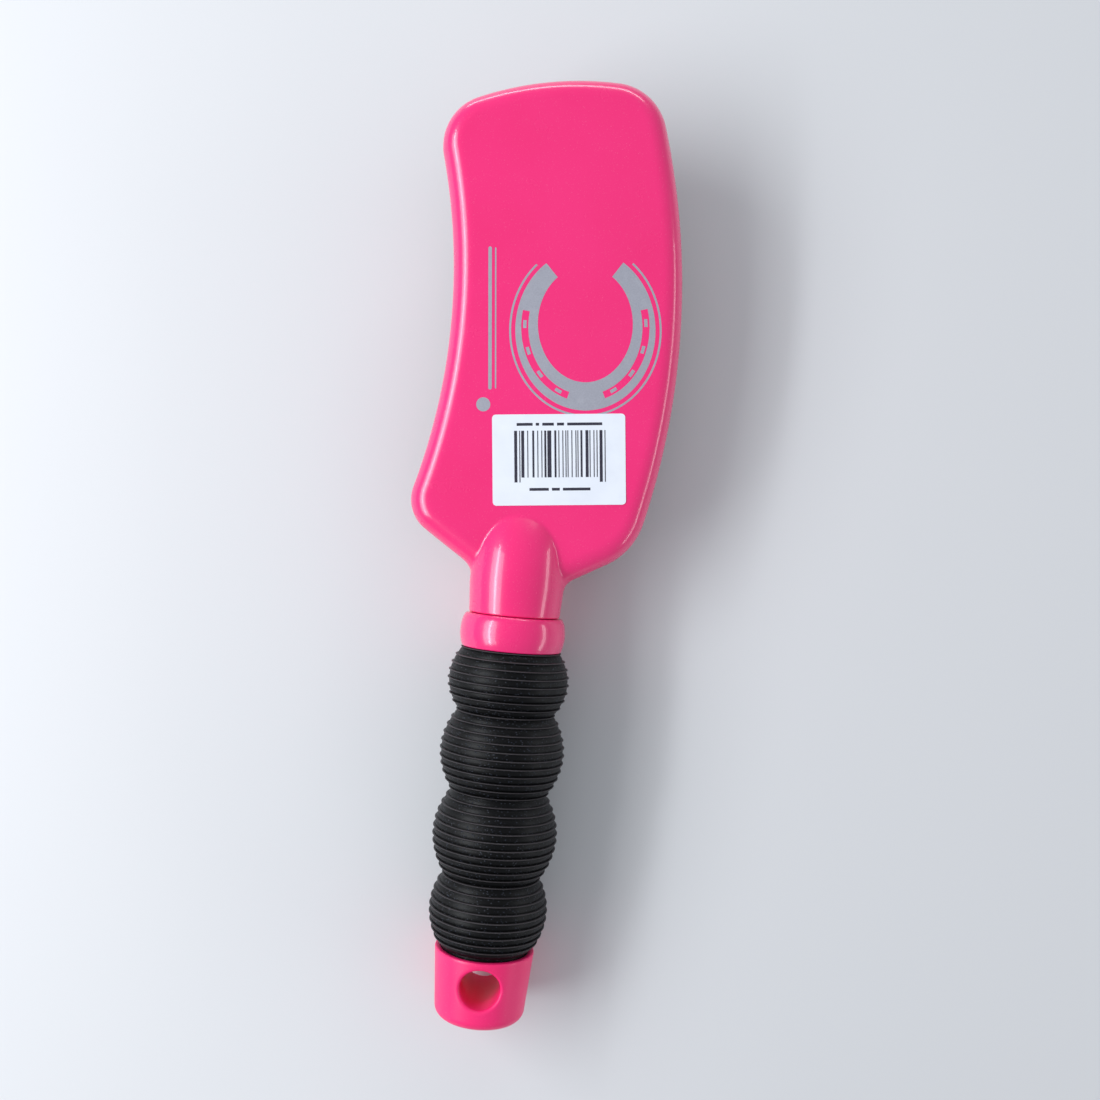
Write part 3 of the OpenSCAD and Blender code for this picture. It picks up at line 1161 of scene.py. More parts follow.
@dataclass
class BrushBody:
    """Head, neck and tang, moulded in one."""

    where: BrushFrame
    outline: HeadOutline
    thickness: float = 12.0
    back_round: float = 5.8
    face_round: float = 2.5
    neck_r: float = 12.45
    neck_side: float = 13.0
    ramp: Pair = (8.0, 27.0)
    under_ramp: Pair = (2.0, 15.0)
    neck_end_y: float = 28.7
    trim_y: float = 0.45
    neck_lip: tuple[Pair, ...] = ((0.22, 0.05), (0.07, 0.18), (0.0, 0.42))
    core: float = 4.0
    crease: float = 0.45
    armpit: float = 3.4
    armpit_y: Pair = (4.5, 24.5)
    tang_r: float = 10.4
    tang_y: float = -91.4
    bore_r: float = 7.0
    bore_end_y: float = 6.0
    bottom_corner: float = 5.0
    frame_w: float = 5.2
    cushion_y: float = 18.8
    roof_t: float = 3.4
    wall_in: float = 5.8
    bead_in: float = 4.0
    bead_z: Pair = (-4.6, -2.4)
    pad_corner: float = 8.0
    step: float = 0.62
    fine_step: float = 0.34
    fine_y: float = 31.0
    arcs: list[Arc] = field(init=False)
    pad_arcs: list[Arc] = field(init=False)

    def __post_init__(self) -> None:
        """Draws the head's and the cushion's outlines."""
        self.arcs = self.outline.arcs(self.armpit_y[0], self.bottom_corner)
        self.pad_arcs = self.outline.arcs(self.cushion_y - self.frame_w,
                                          self.frame_w + self.pad_corner, 4)

    def head(self, p: Points) -> np.ndarray:
        """Signed distance to the paddle.

        Args:
            p: places to measure.

        Returns:
            Distances in millimetres, negative inside.
        """
        half = self.thickness / 2
        middle = (self.armpit_y[0] + self.armpit_y[1]) / 2
        strip = np.maximum(np.abs(p[:, 0]) - self.neck_r + 0.1,
                           np.abs(p[:, 1] - middle) - (self.armpit_y[1] - middle))
        rim = smooth_min(-self.outline.depth(self.arcs, p), strip, self.armpit)
        back = round_max(rim, p[:, 2] - half, self.back_round)
        face = round_max(rim, -p[:, 2] - half, self.face_round)
        return np.maximum(back, face)

    def _sunk(self, y: np.ndarray, ramp: Pair) -> np.ndarray:
        """How far a side of the neck has sunk towards the head's surface.

        Args:
            y: places along the handle.
            ramp: where the neck starts to sink, and where it is level.

        Returns:
            How far it has sunk, in millimetres.
        """
        drop = self.neck_r - self.thickness / 2
        sunk = drop * (np.clip(y - ramp[0], 0, None) / (ramp[1] - ramp[0])) ** 2
        return np.minimum(sunk, self.neck_r - self.core)

    def neck(self, p: Points) -> np.ndarray:
        """Signed distance to the round neck, which sinks into the head.

        Args:
            p: places to measure.

        Returns:
            Distances in millimetres, negative inside.
        """
        x, y, z = p.T
        wide = self.neck_r + (self.neck_side - self.neck_r) * np.clip(y / self.ramp[0], 0, 1)
        up = np.clip(z + self._sunk(y, self.ramp), 0, None)
        down = np.clip(self._sunk(y, self.under_ramp) - z, 0, None)
        size = np.hypot(x / wide, np.maximum(up, down) / self.neck_r)
        return np.maximum((size - 1) * self.neck_r, y - self.neck_end_y)

    def solid(self, p: Points) -> np.ndarray:
        """Signed distance to head and neck together."""
        return smooth_min(self.head(p), self.neck(p), self.crease)

    def _finish_neck(self, mesh: bpy.types.Mesh, cut_y: float) -> None:
        """Trims the neck square, rounds its end and draws the tang out of it.

        Args:
            mesh: the skin of head and neck.
            cut_y: where the neck is trimmed.
        """
        work = bmesh.new()
        work.from_mesh(mesh)
        parts = [*work.verts, *work.edges, *work.faces]
        bmesh.ops.bisect_plane(work, geom=parts, dist=1e-5, plane_co=(0, cut_y, 0),
                               plane_no=(0, 1, 0), clear_inner=True)
        rim = [e for e in work.edges if e.is_boundary]
        rings = [*((y, self.neck_r - inset) for y, inset in self.neck_lip),
                 (0.0, self.tang_r), (self.tang_y, self.tang_r), (self.tang_y, self.bore_r),
                 (self.bore_end_y, self.bore_r)]
        for place, radius in rings:
            made = bmesh.ops.extrude_edge_only(work, edges=rim)["geom"]
            for vert in (v for v in made if isinstance(v, bmesh.types.BMVert)):
                scale = radius / math.hypot(vert.co.x, vert.co.z)
                vert.co = (vert.co.x * scale, place, vert.co.z * scale)
            rim = [e for e in made if isinstance(e, bmesh.types.BMEdge)]
        bmesh.ops.holes_fill(work, edges=rim, sides=0)
        bmesh.ops.recalc_face_normals(work, faces=work.faces)
        work.to_mesh(mesh)
        work.free()

    def _chamber(self) -> bpy.types.Mesh:
        """The air chamber, its bead groove and its softened mouth.

        Returns:
            A closed mesh to carve with.
        """
        face, roof = -self.thickness / 2, self.thickness / 2 - self.roof_t
        low, high = self.bead_z
        section = [(4.75, face - 0.5), (4.75, face - 0.02), (4.86, face + 0.12), (5.02, face + 0.30),
                   (self.frame_w, face + 0.6), (self.frame_w, low), (self.bead_in, low),
                   (self.bead_in, high), (self.wall_in, high), (self.wall_in, roof)]
        return ring_skin("chamber", [self.outline.loop(self.pad_arcs, d, z) for d, z in section])

    def build(self) -> bpy.types.Object:
        """Makes the moulding.

        Returns:
            The piece's object.
        """
        axes = (
            spaced(self.outline.left[0] - 9, self.outline.right[0] + 2, self.step * 0.85),
            np.concatenate((
                spaced(-1.0, self.fine_y, self.fine_step)[:-1],
                spaced(self.fine_y, self.outline.top[1] + 1.5, self.step))),
            spaced(-self.neck_r - 1, self.neck_r + 1, self.step * 0.85))
        mesh = Moulding(self.solid, axes).skin("brush_moulding")
        self._finish_neck(mesh, self.trim_y)
        mesh = carve(mesh, self._chamber())
        return install(mesh, self.where, HANDLE, Slot.GLOSS_PINK, GLOSS_PINK.material(),
                       ["brush_body"])


# ---------------------------------------------------------------- cushion and pins


@dataclass
class PinField:
    """The rubber air cushion, its moulded pin collars and the rows of ball-tipped pins."""

    where: BrushFrame
    body: BrushBody
    rows: int = 14
    pitch: float = 8.0
    first_y: float = 27.5
    full_row: int = 7
    margin: float = 11.5
    tip_z: float = -23.0
    ball_r: float = 1.15
    stem_r: float = 0.72
    neck_r: float = 0.56
    collar_gap: float = 0.13
    flange_z: float = -5.9
    edge: float = 5.3
    edge_z: float = -6.5
    crown: float = 2.0
    crown_run: float = 17.0
    crown_power: float = 2.4
    edge_round: float = 0.9
    rubber_t: float = 2.2
    rubber_step: float = 0.7
    lean: float = math.radians(0.5)
    pin_sides: int = 12
    collar_sides: int = 16
    pin_seed: int = 11
    collar_seed: int = 5

    def surface(self, x: float, y: float) -> float:
        """Height of the cushion's face at a place."""
        return float(self._face(np.array([[x, y, 0.0]]))[0])

    def _face(self, p: Points) -> np.ndarray:
        """Height of the crowned face over points.

        Args:
            p: places to measure.

        Returns:
            Heights in millimetres.
        """
        depth = self.body.outline.depth(self.body.pad_arcs, p) - self.edge
        share = np.clip(depth / self.crown_run, 0, 1)
        return self.edge_z - self.crown * (1 - (1 - share) ** self.crown_power)

    def _solid(self, p: Points) -> np.ndarray:
        """Signed distance to the rubber, a crowned sheet with a rolled edge.

        Args:
            p: places to measure.

        Returns:
            Distances in millimetres, negative inside.
        """
        depth = self.body.outline.depth(self.body.pad_arcs, p) - self.edge
        face = (self._face(p) - p[:, 2]) * 0.97
        inner = p[:, 2] - self._face(p) - self.rubber_t
        return np.maximum(round_max(face, -depth, self.edge_round), inner)

    def places(self, row: int) -> list[Pair]:
        """Where a row's pins stand. The first and the last row are one pin shorter.

        Args:
            row: the row's number, from 0 at the neck.

        Returns:
            The places of its pins, from left to right.
        """
        y = self.first_y + row * self.pitch
        low = self.body.outline.left_at(y) + self.margin
        high = self.body.outline.right_at(y) - self.margin
        gap = (high - low) / (self.full_row - 1)
        count = self.full_row - (row in (0, self.rows - 1))
        start = (low + high) / 2 - gap * (count - 1) / 2
        return [(start + k * gap, y) for k in range(count)]

    def _pin(self) -> bpy.types.Object:
        """One pin, in one skin: flange, tapering stem, ball tip. It stands on its flange.

        Returns:
            The form that is planted.
        """
        length = self.flange_z - self.tip_z
        ball_y = length - self.ball_r
        angles = np.radians(np.linspace(152, 0, 8))
        ball = [(self.ball_r * math.sin(a), ball_y + self.ball_r * math.cos(a)) for a in angles]
        profile = [(0.0, -0.8), (1.45, -0.8), (1.6, -0.65), (1.6, -0.1), (1.45, 0.0),
                   (0.95, 0.05), (self.stem_r, 0.35), (self.stem_r - 0.02, length * 0.45),
                   (self.neck_r, length - 2 * self.ball_r - 0.5), *ball[:-1], (0.0, length)]
        mesh = lathe("pin_form", profile, self.pin_sides)
        mesh.transform(Matrix.Rotation(math.radians(-90), 4, "X"))
        return bare_object(mesh)

    def _collar(self) -> bpy.types.Object:
        """The low collar moulded round a pin.

        Returns:
            The form that is planted.
        """
        hole = self.stem_r + self.collar_gap
        profile = [(hole, -0.5), (2.6, -0.5), (2.35, 0.06), (1.95, 0.3), (1.62, 0.62), (1.3, 0.78),
                   (1.05, 0.74), (hole, 0.5)]
        mesh = lathe("collar_form", profile, self.collar_sides)
        mesh.transform(Matrix.Rotation(math.radians(-90), 4, "X"))
        return bare_object(mesh)

    def build(self) -> None:
        """Makes the cushion, its collars and every row of pins."""
        outline = self.body.outline
        low = (outline.left[0] - 6, self.body.cushion_y - 2, self.edge_z - self.crown - 1)
        high = (outline.right[0] + 1, outline.top[1], self.edge_z + self.rubber_t + 1)
        rubber = CushionRubber().material()
        sheet = Moulding.in_box(self._solid, low, high, self.rubber_step).skin("air_cushion")
        install(sheet, self.where, HANDLE, Slot.CUSHION, rubber, ["cushion_pad"])
        tree = planting_tree()
        nylon = PinNylon().material()
        pin, collar = self._pin(), self._collar()
        every: list[Points] = []
        for row in range(self.rows):
            spots = self.places(row)
            every += [(x, y, self.surface(x, y)) for x, y in spots]
            base = mesh_of("row_points", [(x, y, self.flange_z) for x, y in spots], [])
            name = f"pin_row_{row + 1:02d}"
            mesh = tree.grow(f"pins_{row + 1:02d}", base, {
                "Form": pin, "Lean": self.lean, "Seed": self.pin_seed + row, "Material": nylon})
            install(mesh, self.where, name, Slot.PINS, nylon, [name])
        collars = tree.grow("pin_collars", mesh_of("collar_points", every, []), {
            "Form": collar, "Lean": 0.0, "Seed": self.collar_seed, "Material": rubber})
        install(collars, self.where, HANDLE, Slot.CUSHION, rubber)
        for form in (pin, collar):
            bpy.data.objects.remove(form)


# ---------------------------------------------------------------- collar, grip, cap


@dataclass
class Collar:
    """The pink ring between neck and grip."""

    where: BrushFrame
    top_y: float = -0.13
    low_y: float = -9.35
    top_r: float = 12.75
    wide_r: float = 14.4
    low_r: float = 13.75
    bore_r: float = 10.45
    widest: float = 0.56
    lip: float = 0.45
    segments: int = 144

    def _profile(self) -> list[Pair]:
        """The ring's section: a full shoulder, a soft belly and a rounded lower lip.

        Returns:
            Radius and place along the handle, round the section.
        """
        length = self.top_y - self.low_y
        swell_y = self.top_y - self.widest * length
        upper = [(self.top_r + (self.wide_r - self.top_r) * math.sin(a),
                  self.top_y - (self.top_y - swell_y) * (1 - math.cos(a)))
                 for a in np.radians(np.linspace(12, 90, 16))]
        lower = [(self.wide_r - (self.wide_r - self.low_r) * t ** 2,
                  swell_y + (self.low_y + self.lip - swell_y) * t)
                 for t in np.linspace(0.12, 1, 9)]
        lip = [(self.low_r - self.lip * (1 - math.cos(a)), self.low_y + self.lip * (1 - math.sin(a)))
               for a in np.radians((25, 50, 75, 90))]
        start = [(self.bore_r, self.top_y), (self.top_r - 0.35, self.top_y),
                 (self.top_r - 0.12, self.top_y - 0.03)]
        return [*start, *upper, *lower, *lip, (self.bore_r, self.low_y)]

    def build(self, finish: bpy.types.Material) -> bpy.types.Object:
        """Turns the ring."""
        mesh = lathe("collar_band", self._profile(), self.segments)
        return install(mesh, self.where, HANDLE, Slot.GLOSS_PINK, finish, ["collar_ring"])


@dataclass(frozen=True)
class Bulge:
    """One finger bulge of the grip: a round crest that falls away evenly."""

    place: float
    crest: float
    fall: float


@dataclass
class Grip:
    """The ribbed rubber grip."""

    where: BrushFrame
    top_y: float = -9.4
    low_y: float = -92.4
    seat: float = 2.0
    rings: int = 38
    points_per_ring: int = 12
    segments: int = 108
    groove: float = 0.85
    waist_blend: float = 0.5
    bore_r: float = 10.45
    end_r: float = 11.95
    end_round: float = 0.25
    end_rows: int = 6
    lip_at: float = 0.105
    lip_peak: float = 1.55
    lip_fade: float = 15.0
    weld: float = 0.001
    bulges: tuple[Bulge, ...] = (
        Bulge(-18.0, 16.7, 0.042), Bulge(-37.5, 17.1, 0.0306), Bulge(-60.0, 17.1, 0.029),
        Bulge(-80.7, 16.2, 0.032))
    spacing: tuple[Pair, ...] = ((0.0, 0.0), (0.5, 0.20), (0.64, 0.33), (1.0, 1.0))
    section: tuple[Pair, ...] = (
        (0.0, 0.24), (0.035, 0.66), (0.075, 0.95), (0.115, 1.0), (0.155, 0.92), (0.20, 0.62),
        (0.26, 0.38), (0.50, 0.46), (0.75, 0.44), (0.92, 0.34), (1.0, 0.24))

    def _tree(self) -> GrowthTree:
        """The tree that wraps a ribbed, bulging sleeve round the handle's axis.

        Returns:
            The tree.
        """
        number, whole = "NodeSocketFloat", "NodeSocketInt"
        inputs: dict[str, tuple[str, Any]] = {
            "Top": (number, self.top_y), "End": (number, self.low_y),
            "Ribbed Length": (number, self.top_y - self.low_y - self.seat),
            "Rings": (whole, self.rings), "Points Per Ring": (whole, self.points_per_ring),
            "Segments": (whole, self.segments), "Groove": (number, self.groove),
            "Waist Blend": (number, self.waist_blend), "Bore Radius": (number, self.bore_r),
            "End Radius": (number, self.end_r), "Material": ("NodeSocketMaterial", None)}
        for k, bulge in enumerate(self.bulges, 1):
            inputs |= {f"Bulge {k} Place": (number, bulge.place),
                       f"Bulge {k} Crest": (number, bulge.crest),
                       f"Bulge {k} Fall": (number, bulge.fall)}
        tree = GrowthTree("ribbed_grip", inputs)
        given = tree.given
        rows = given("Rings") * given("Points Per Ring")
        around = given("Segments") + 1
        grid = tree.add("GeometryNodeMeshGrid", None, {
            "Size X": 1.0, "Size Y": 1.0, "Vertices X": around, "Vertices Y": rows + self.end_rows})
        spot = tree.add("ShaderNodeSeparateXYZ", None, {
            "Vector": tree.out(tree.add("GeometryNodeInputPosition"))})
        angle = (tree.out(spot, "X") + 0.5) * TURN
        row = tree.math("ROUND", (tree.out(spot, "Y") + 0.5) * (rows + (self.end_rows - 1))) - 1
        share = tree.math("MINIMUM", tree.math("MAXIMUM", row, 0.0), rows) / rows
        turns = share * given("Rings")
        even = tree.math("FRACT", turns + 0.0001)
        phase = tree.out(tree.add("ShaderNodeFloatCurve", {"curve": self.spacing}, {"Value": even}))
        ribbed_y = given("Top") - given("Ribbed Length") / given("Rings") * (turns - even + phase)
        place = None
        for k in range(1, len(self.bulges) + 1):
            off = ribbed_y - given(f"Bulge {k} Place")
            rise = given(f"Bulge {k} Crest") - given(f"Bulge {k} Fall") * off * off
            place = rise if place is None else tree.math("SMOOTH_MAX", place, rise, given("Waist Blend"))
        rib = tree.add("ShaderNodeFloatCurve", {"curve": self.section}, {"Value": phase})
        skin = place - given("Groove") * (1 - tree.out(rib))
        past = tree.math("GREATER_THAN", row, rows + 0.5)
        last = tree.math("GREATER_THAN", row, rows + 1.5)
        bore = tree.math("GREATER_THAN", 0 - row, 0.5) + tree.math("GREATER_THAN", row, rows + 3.5)
        radius = skin + past * (given("End Radius") - skin)
        radius = radius - tree.math("GREATER_THAN", row, rows + 2.5) * self.end_round
        radius = radius + bore * (given("Bore Radius") - radius)
        ending = given("End") + self.end_round * (1 - tree.math("GREATER_THAN", row, rows + 2.5))
        y = ribbed_y + last * (ending - ribbed_y)
        sent = tree.add("ShaderNodeCombineXYZ", None, {
            "X": radius * tree.math("COSINE", angle), "Y": y, "Z": radius * tree.math("SINE", angle)})
        # The lip attribute marks where the grip's material paints a highlight along each ring's lip.
        lip = (self.lip_peak - abs(phase - self.lip_at) * self.lip_fade).clamped() * (1 - past)
        marked = tree.add("GeometryNodeStoreNamedAttribute", {"data_type": "FLOAT"}, {
            "Geometry": tree.out(grid), "Name": "lip", "Value": lip})
        moved = tree.add("GeometryNodeSetPosition", None, {
            "Geometry": tree.out(marked), "Position": tree.out(sent)})
        welded = tree.add("GeometryNodeMergeByDistance", None, {
            "Geometry": tree.out(moved), "Distance": self.weld})
        tree.close(tree.out(welded))
        return tree

    def build(self) -> bpy.types.Object:
        """Grows the sleeve and closes its bore.

        Returns:
            The piece's object.
        """
        finish = GripRubber().material()
        seed = bpy.data.meshes.new("grip_seed")
        mesh = self._tree().grow("ribbed_grip", seed, {"Material": finish})
        work = bmesh.new()
        work.from_mesh(mesh)
        bmesh.ops.bridge_loops(work, edges=[e for e in work.edges if e.is_boundary])
        work.to_mesh(mesh)
        work.free()
        face_outwards(mesh)
        return install(mesh, self.where, HANDLE, Slot.GRIP, finish, ["grip_sleeve"])


@dataclass
class EndCap:
    """The cap over the grip's end, with the hanging hole through it."""

    where: BrushFrame
    rim_y: float = -91.2
    end_y: float = -110.1
    rim_r: float = 13.6
    end_r: float = 12.1
    cup_r: float = 12.05
    cup_y: float = -92.45
    edge: float = 2.6
    rim_round: float = 0.5
    hole_y: float = -98.8
    hole_r: float = 5.4
    mouth: float = 1.0
    under_mouth: float = 0.15
    cup_round: float = 0.3
    spigot_r: float = 6.95
    spigot_y: float = -78.5
    air: float = 0.8
    step: float = 0.36

    def solid(self, p: Points) -> np.ndarray:
        """Signed distance to the cap.

        Args:
            p: places to measure.

        Returns:
            Distances in millimetres, negative inside.
        """
        x, y, z = p.T
        out = np.hypot(x, z)
        slope = (self.rim_r - self.end_r) / (self.rim_y - self.end_y)
        side = out - (self.rim_r + slope * (y - self.rim_y))
        shell = round_max(side, self.end_y - y, self.edge)
        shell = round_max(shell, y - self.rim_y, self.rim_round)
        cup = np.maximum(out - self.cup_r, self.cup_y - y)
        shell = round_max(shell, -cup, self.cup_round)
        hole = np.hypot(x, y - self.hole_y) - self.hole_r
        shell = np.where(z > 0, round_max(shell, -hole, self.mouth),
                         round_max(shell, -hole, self.under_mouth))
        spigot = np.maximum(np.maximum(out - self.spigot_r, y - self.spigot_y), self.cup_y - 1 - y)
        return np.minimum(shell, spigot)

    def build(self) -> bpy.types.Object:
        """Moulds the cap.

        Returns:
            The piece's object.
        """
        reach = self.rim_r + self.air
        low = (-reach, self.end_y - self.air, -reach)
        high = (reach, self.spigot_y + self.air, reach)
        mesh = Moulding.in_box(self.solid, low, high, self.step).skin("hanging_cap")
        return install(mesh, self.where, HANDLE, Slot.SATIN_PINK, SATIN_PINK.material(),
                       ["end_cap"])


# ---------------------------------------------------------------- label and print


@dataclass
class PriceLabel:
    """A paper label with a plain pattern of bars, which encodes nothing."""

    where: BrushFrame
    centre: Pair = (8.4, 42.9)
    size: Pair = (35.8, 24.5)
    turn_deg: float = 5.6
    corner: float = 1.0
    back_z: float = 6.0
    paper_t: float = 0.12
    ink_t: float = 0.012
    glue_t: float = 0.006
    curl_from: float = 0.62
    curl: float = 0.9
    cell: float = 0.5
    bars: int = 24
    bars_left: float = 5.9
    bars_wide: float = 25.1
    bars_top: float = 4.4
    bars_tall: float = 12.6
    guard: float = 1.3
    narrowness: float = 1.7
    widest: float = 3.6
    bar_seed: int = 4
    dash_t: float = 0.75
    dash_gap: float = 0.85
    lines: tuple[tuple[float, float, tuple[float, ...]], ...] = (
        (6.6, 2.7, (4.3, 0.9, 3.1, 1.9, 9.4)), (9.9, 20.2, (5.2, 2.1, 7.4)))

    def _lay(self, mesh: bpy.types.Mesh) -> None:
        """Turns a mesh from the label's own axes to the brush's."""
        turn = Matrix.Rotation(math.radians(self.turn_deg), 4, "Z")
        mesh.transform(Matrix.Translation((*self.centre, self.back_z)) @ turn)

    def lift(self, x: np.ndarray, y: np.ndarray) -> np.ndarray:
        """How far the paper stands off the back: flat, with one corner barely lifting."""
        corner = np.clip((x / self.size[0] - y / self.size[1]) - self.curl_from, 0, None)
        return self.glue_t + self.curl * corner ** 2

    def _paper(self) -> bpy.types.Mesh:
        """The sheet, with rounded corners.

        Returns:
            A closed mesh in the label's own axes.
        """
        wide, tall = (int(round(s / self.cell)) for s in self.size)
        gx, gy = np.meshgrid(np.linspace(-0.5, 0.5, wide + 1) * self.size[0],
                             np.linspace(-0.5, 0.5, tall + 1) * self.size[1], indexing="ij")
        x, y = gx.ravel(), gy.ravel()
        cx = np.clip(x, self.corner - self.size[0] / 2, self.size[0] / 2 - self.corner)
        cy = np.clip(y, self.corner - self.size[1] / 2, self.size[1] / 2 - self.corner)
        dx, dy = x - cx, y - cy
        length = np.maximum(np.hypot(dx, dy), 1e-9)
        pull = np.maximum(np.abs(dx), np.abs(dy)) / length
        both = (np.abs(dx) > 1e-9) & (np.abs(dy) > 1e-9)
        x, y = cx + dx * np.where(both, pull, 1), cy + dy * np.where(both, pull, 1)
        low = np.column_stack((x, y, self.lift(x, y)))
        index = np.arange(len(x)).reshape(gx.shape)
        top = np.stack((index[:-1, :-1], index[1:, :-1], index[1:, 1:], index[:-1, 1:]), -1)
        top = top.reshape(-1, 4)
        rim = np.concatenate((index[:, 0], index[-1, 1:], index[-2::-1, -1], index[0, -2:0:-1]))
        wall = np.column_stack((rim, np.roll(rim, -1), np.roll(rim, -1) + len(x), rim + len(x)))
        points = np.vstack((low, low + (0, 0, self.paper_t)))
        faces = [*top[:, ::-1].tolist(), *(top + len(x)).tolist(), *wall.tolist()]
        mesh = mesh_of("price_paper", points, faces)
        face_outwards(mesh, FINE_WELD)
        return mesh

    def _bar_tree(self) -> GrowthTree:
        """The tree that sets bars of random widths side by side over a given width.

        Returns:
            The tree.
        """
        number = "NodeSocketFloat"
        tree = GrowthTree("label_bars", {
            "Count": ("NodeSocketInt", self.bars), "Width": (number, self.bars_wide),
            "Height": (number, self.bars_tall), "Guard": (number, self.guard),
            "Thickness": (number, self.ink_t), "Seed": ("NodeSocketInt", self.bar_seed),
            "Material": ("NodeSocketMaterial", None)})
        given = tree.given
        line = tree.add("GeometryNodeMeshLine", None, {
            "Count": given("Count"), "Offset": (0.0, 0.0, 0.0)})
        index = tree.out(tree.add("GeometryNodeInputIndex"))
        wide = self._modules(tree, 0)
        gap = self._modules(tree, 7)
        run = tree.add("GeometryNodeAccumulateField", None, {0: wide + gap})
        before, total = tree.out(run, "Trailing"), tree.out(run, "Total")
        unit = given("Width") / total
        middle = (before + wide * 0.5) * unit
        edge = tree.math("LESS_THAN", index, 1.5) + tree.math(
            "GREATER_THAN", index, given("Count") - 2.5)
        guard = given("Guard") * edge
        spot = tree.add("ShaderNodeCombineXYZ", None, {
            "X": middle, "Y": 0 - (given("Height") + guard) * 0.5, "Z": 0.0})
        moved = tree.add("GeometryNodeSetPosition", None, {
            "Geometry": tree.out(line), "Position": tree.out(spot)})
        size = tree.add("ShaderNodeCombineXYZ", None, {
            "X": wide * unit, "Y": given("Height") + guard, "Z": given("Thickness")})
        block = tree.add("GeometryNodeMeshCube", None, {"Size": (1.0, 1.0, 1.0)})
        planted = tree.add("GeometryNodeInstanceOnPoints", None, {
            "Points": tree.out(moved), "Instance": tree.out(block), "Scale": tree.out(size)})
        tree.close(tree.out(planted))
        return tree

    def _modules(self, tree: GrowthTree, shift: int) -> Wire:
        """A random width of 1 to 4 modules, mostly narrow.

        Args:
            tree: the tree.
            shift: added to the seed.

        Returns:
            The width, in modules.
        """
        draw = tree.add("FunctionNodeRandomValue", {"data_type": "FLOAT"}, {
            "Seed": tree.given("Seed") + shift})
        return tree.math("FLOOR", tree.out(draw, 1) ** self.narrowness * self.widest) + 1

    def _bars(self, ink: bpy.types.Material) -> bpy.types.Mesh:
        """The bars and two lines of plain dashes, on the paper.

        Args:
            ink: the print's material.

        Returns:
            A mesh in the label's own axes.
        """
        mesh = self._bar_tree().grow("label_print", bpy.data.meshes.new("bar_seed"),
                                     {"Material": ink})
        left, top = -self.size[0] / 2, self.size[1] / 2
        face = self.paper_t + self.ink_t
        mesh.transform(Matrix.Translation((left + self.bars_left, top - self.bars_top, face)))
        work = bmesh.new()
        work.from_mesh(mesh)
        for x, y, dashes in self.lines:
            for wide in dashes:
                block = Matrix.Translation((left + x + wide / 2, top - y, face))
                size = Matrix.Diagonal((wide, self.dash_t, self.ink_t, 1))
                bmesh.ops.create_cube(work, size=1, matrix=block @ size)
                x += wide + self.dash_gap
        work.to_mesh(mesh)
        work.free()
        return mesh

    def build(self) -> None:
        """Makes the paper and its print."""
        toner = TONER.material()
        paper, bars = self._paper(), self._bars(toner)
        for mesh in (paper, bars):
            self._lay(mesh)
        install(paper, self.where, HANDLE, Slot.PAPER, LabelPaper().material(), ["price_label"])
        install(bars, self.where, HANDLE, Slot.BAR_INK, toner)


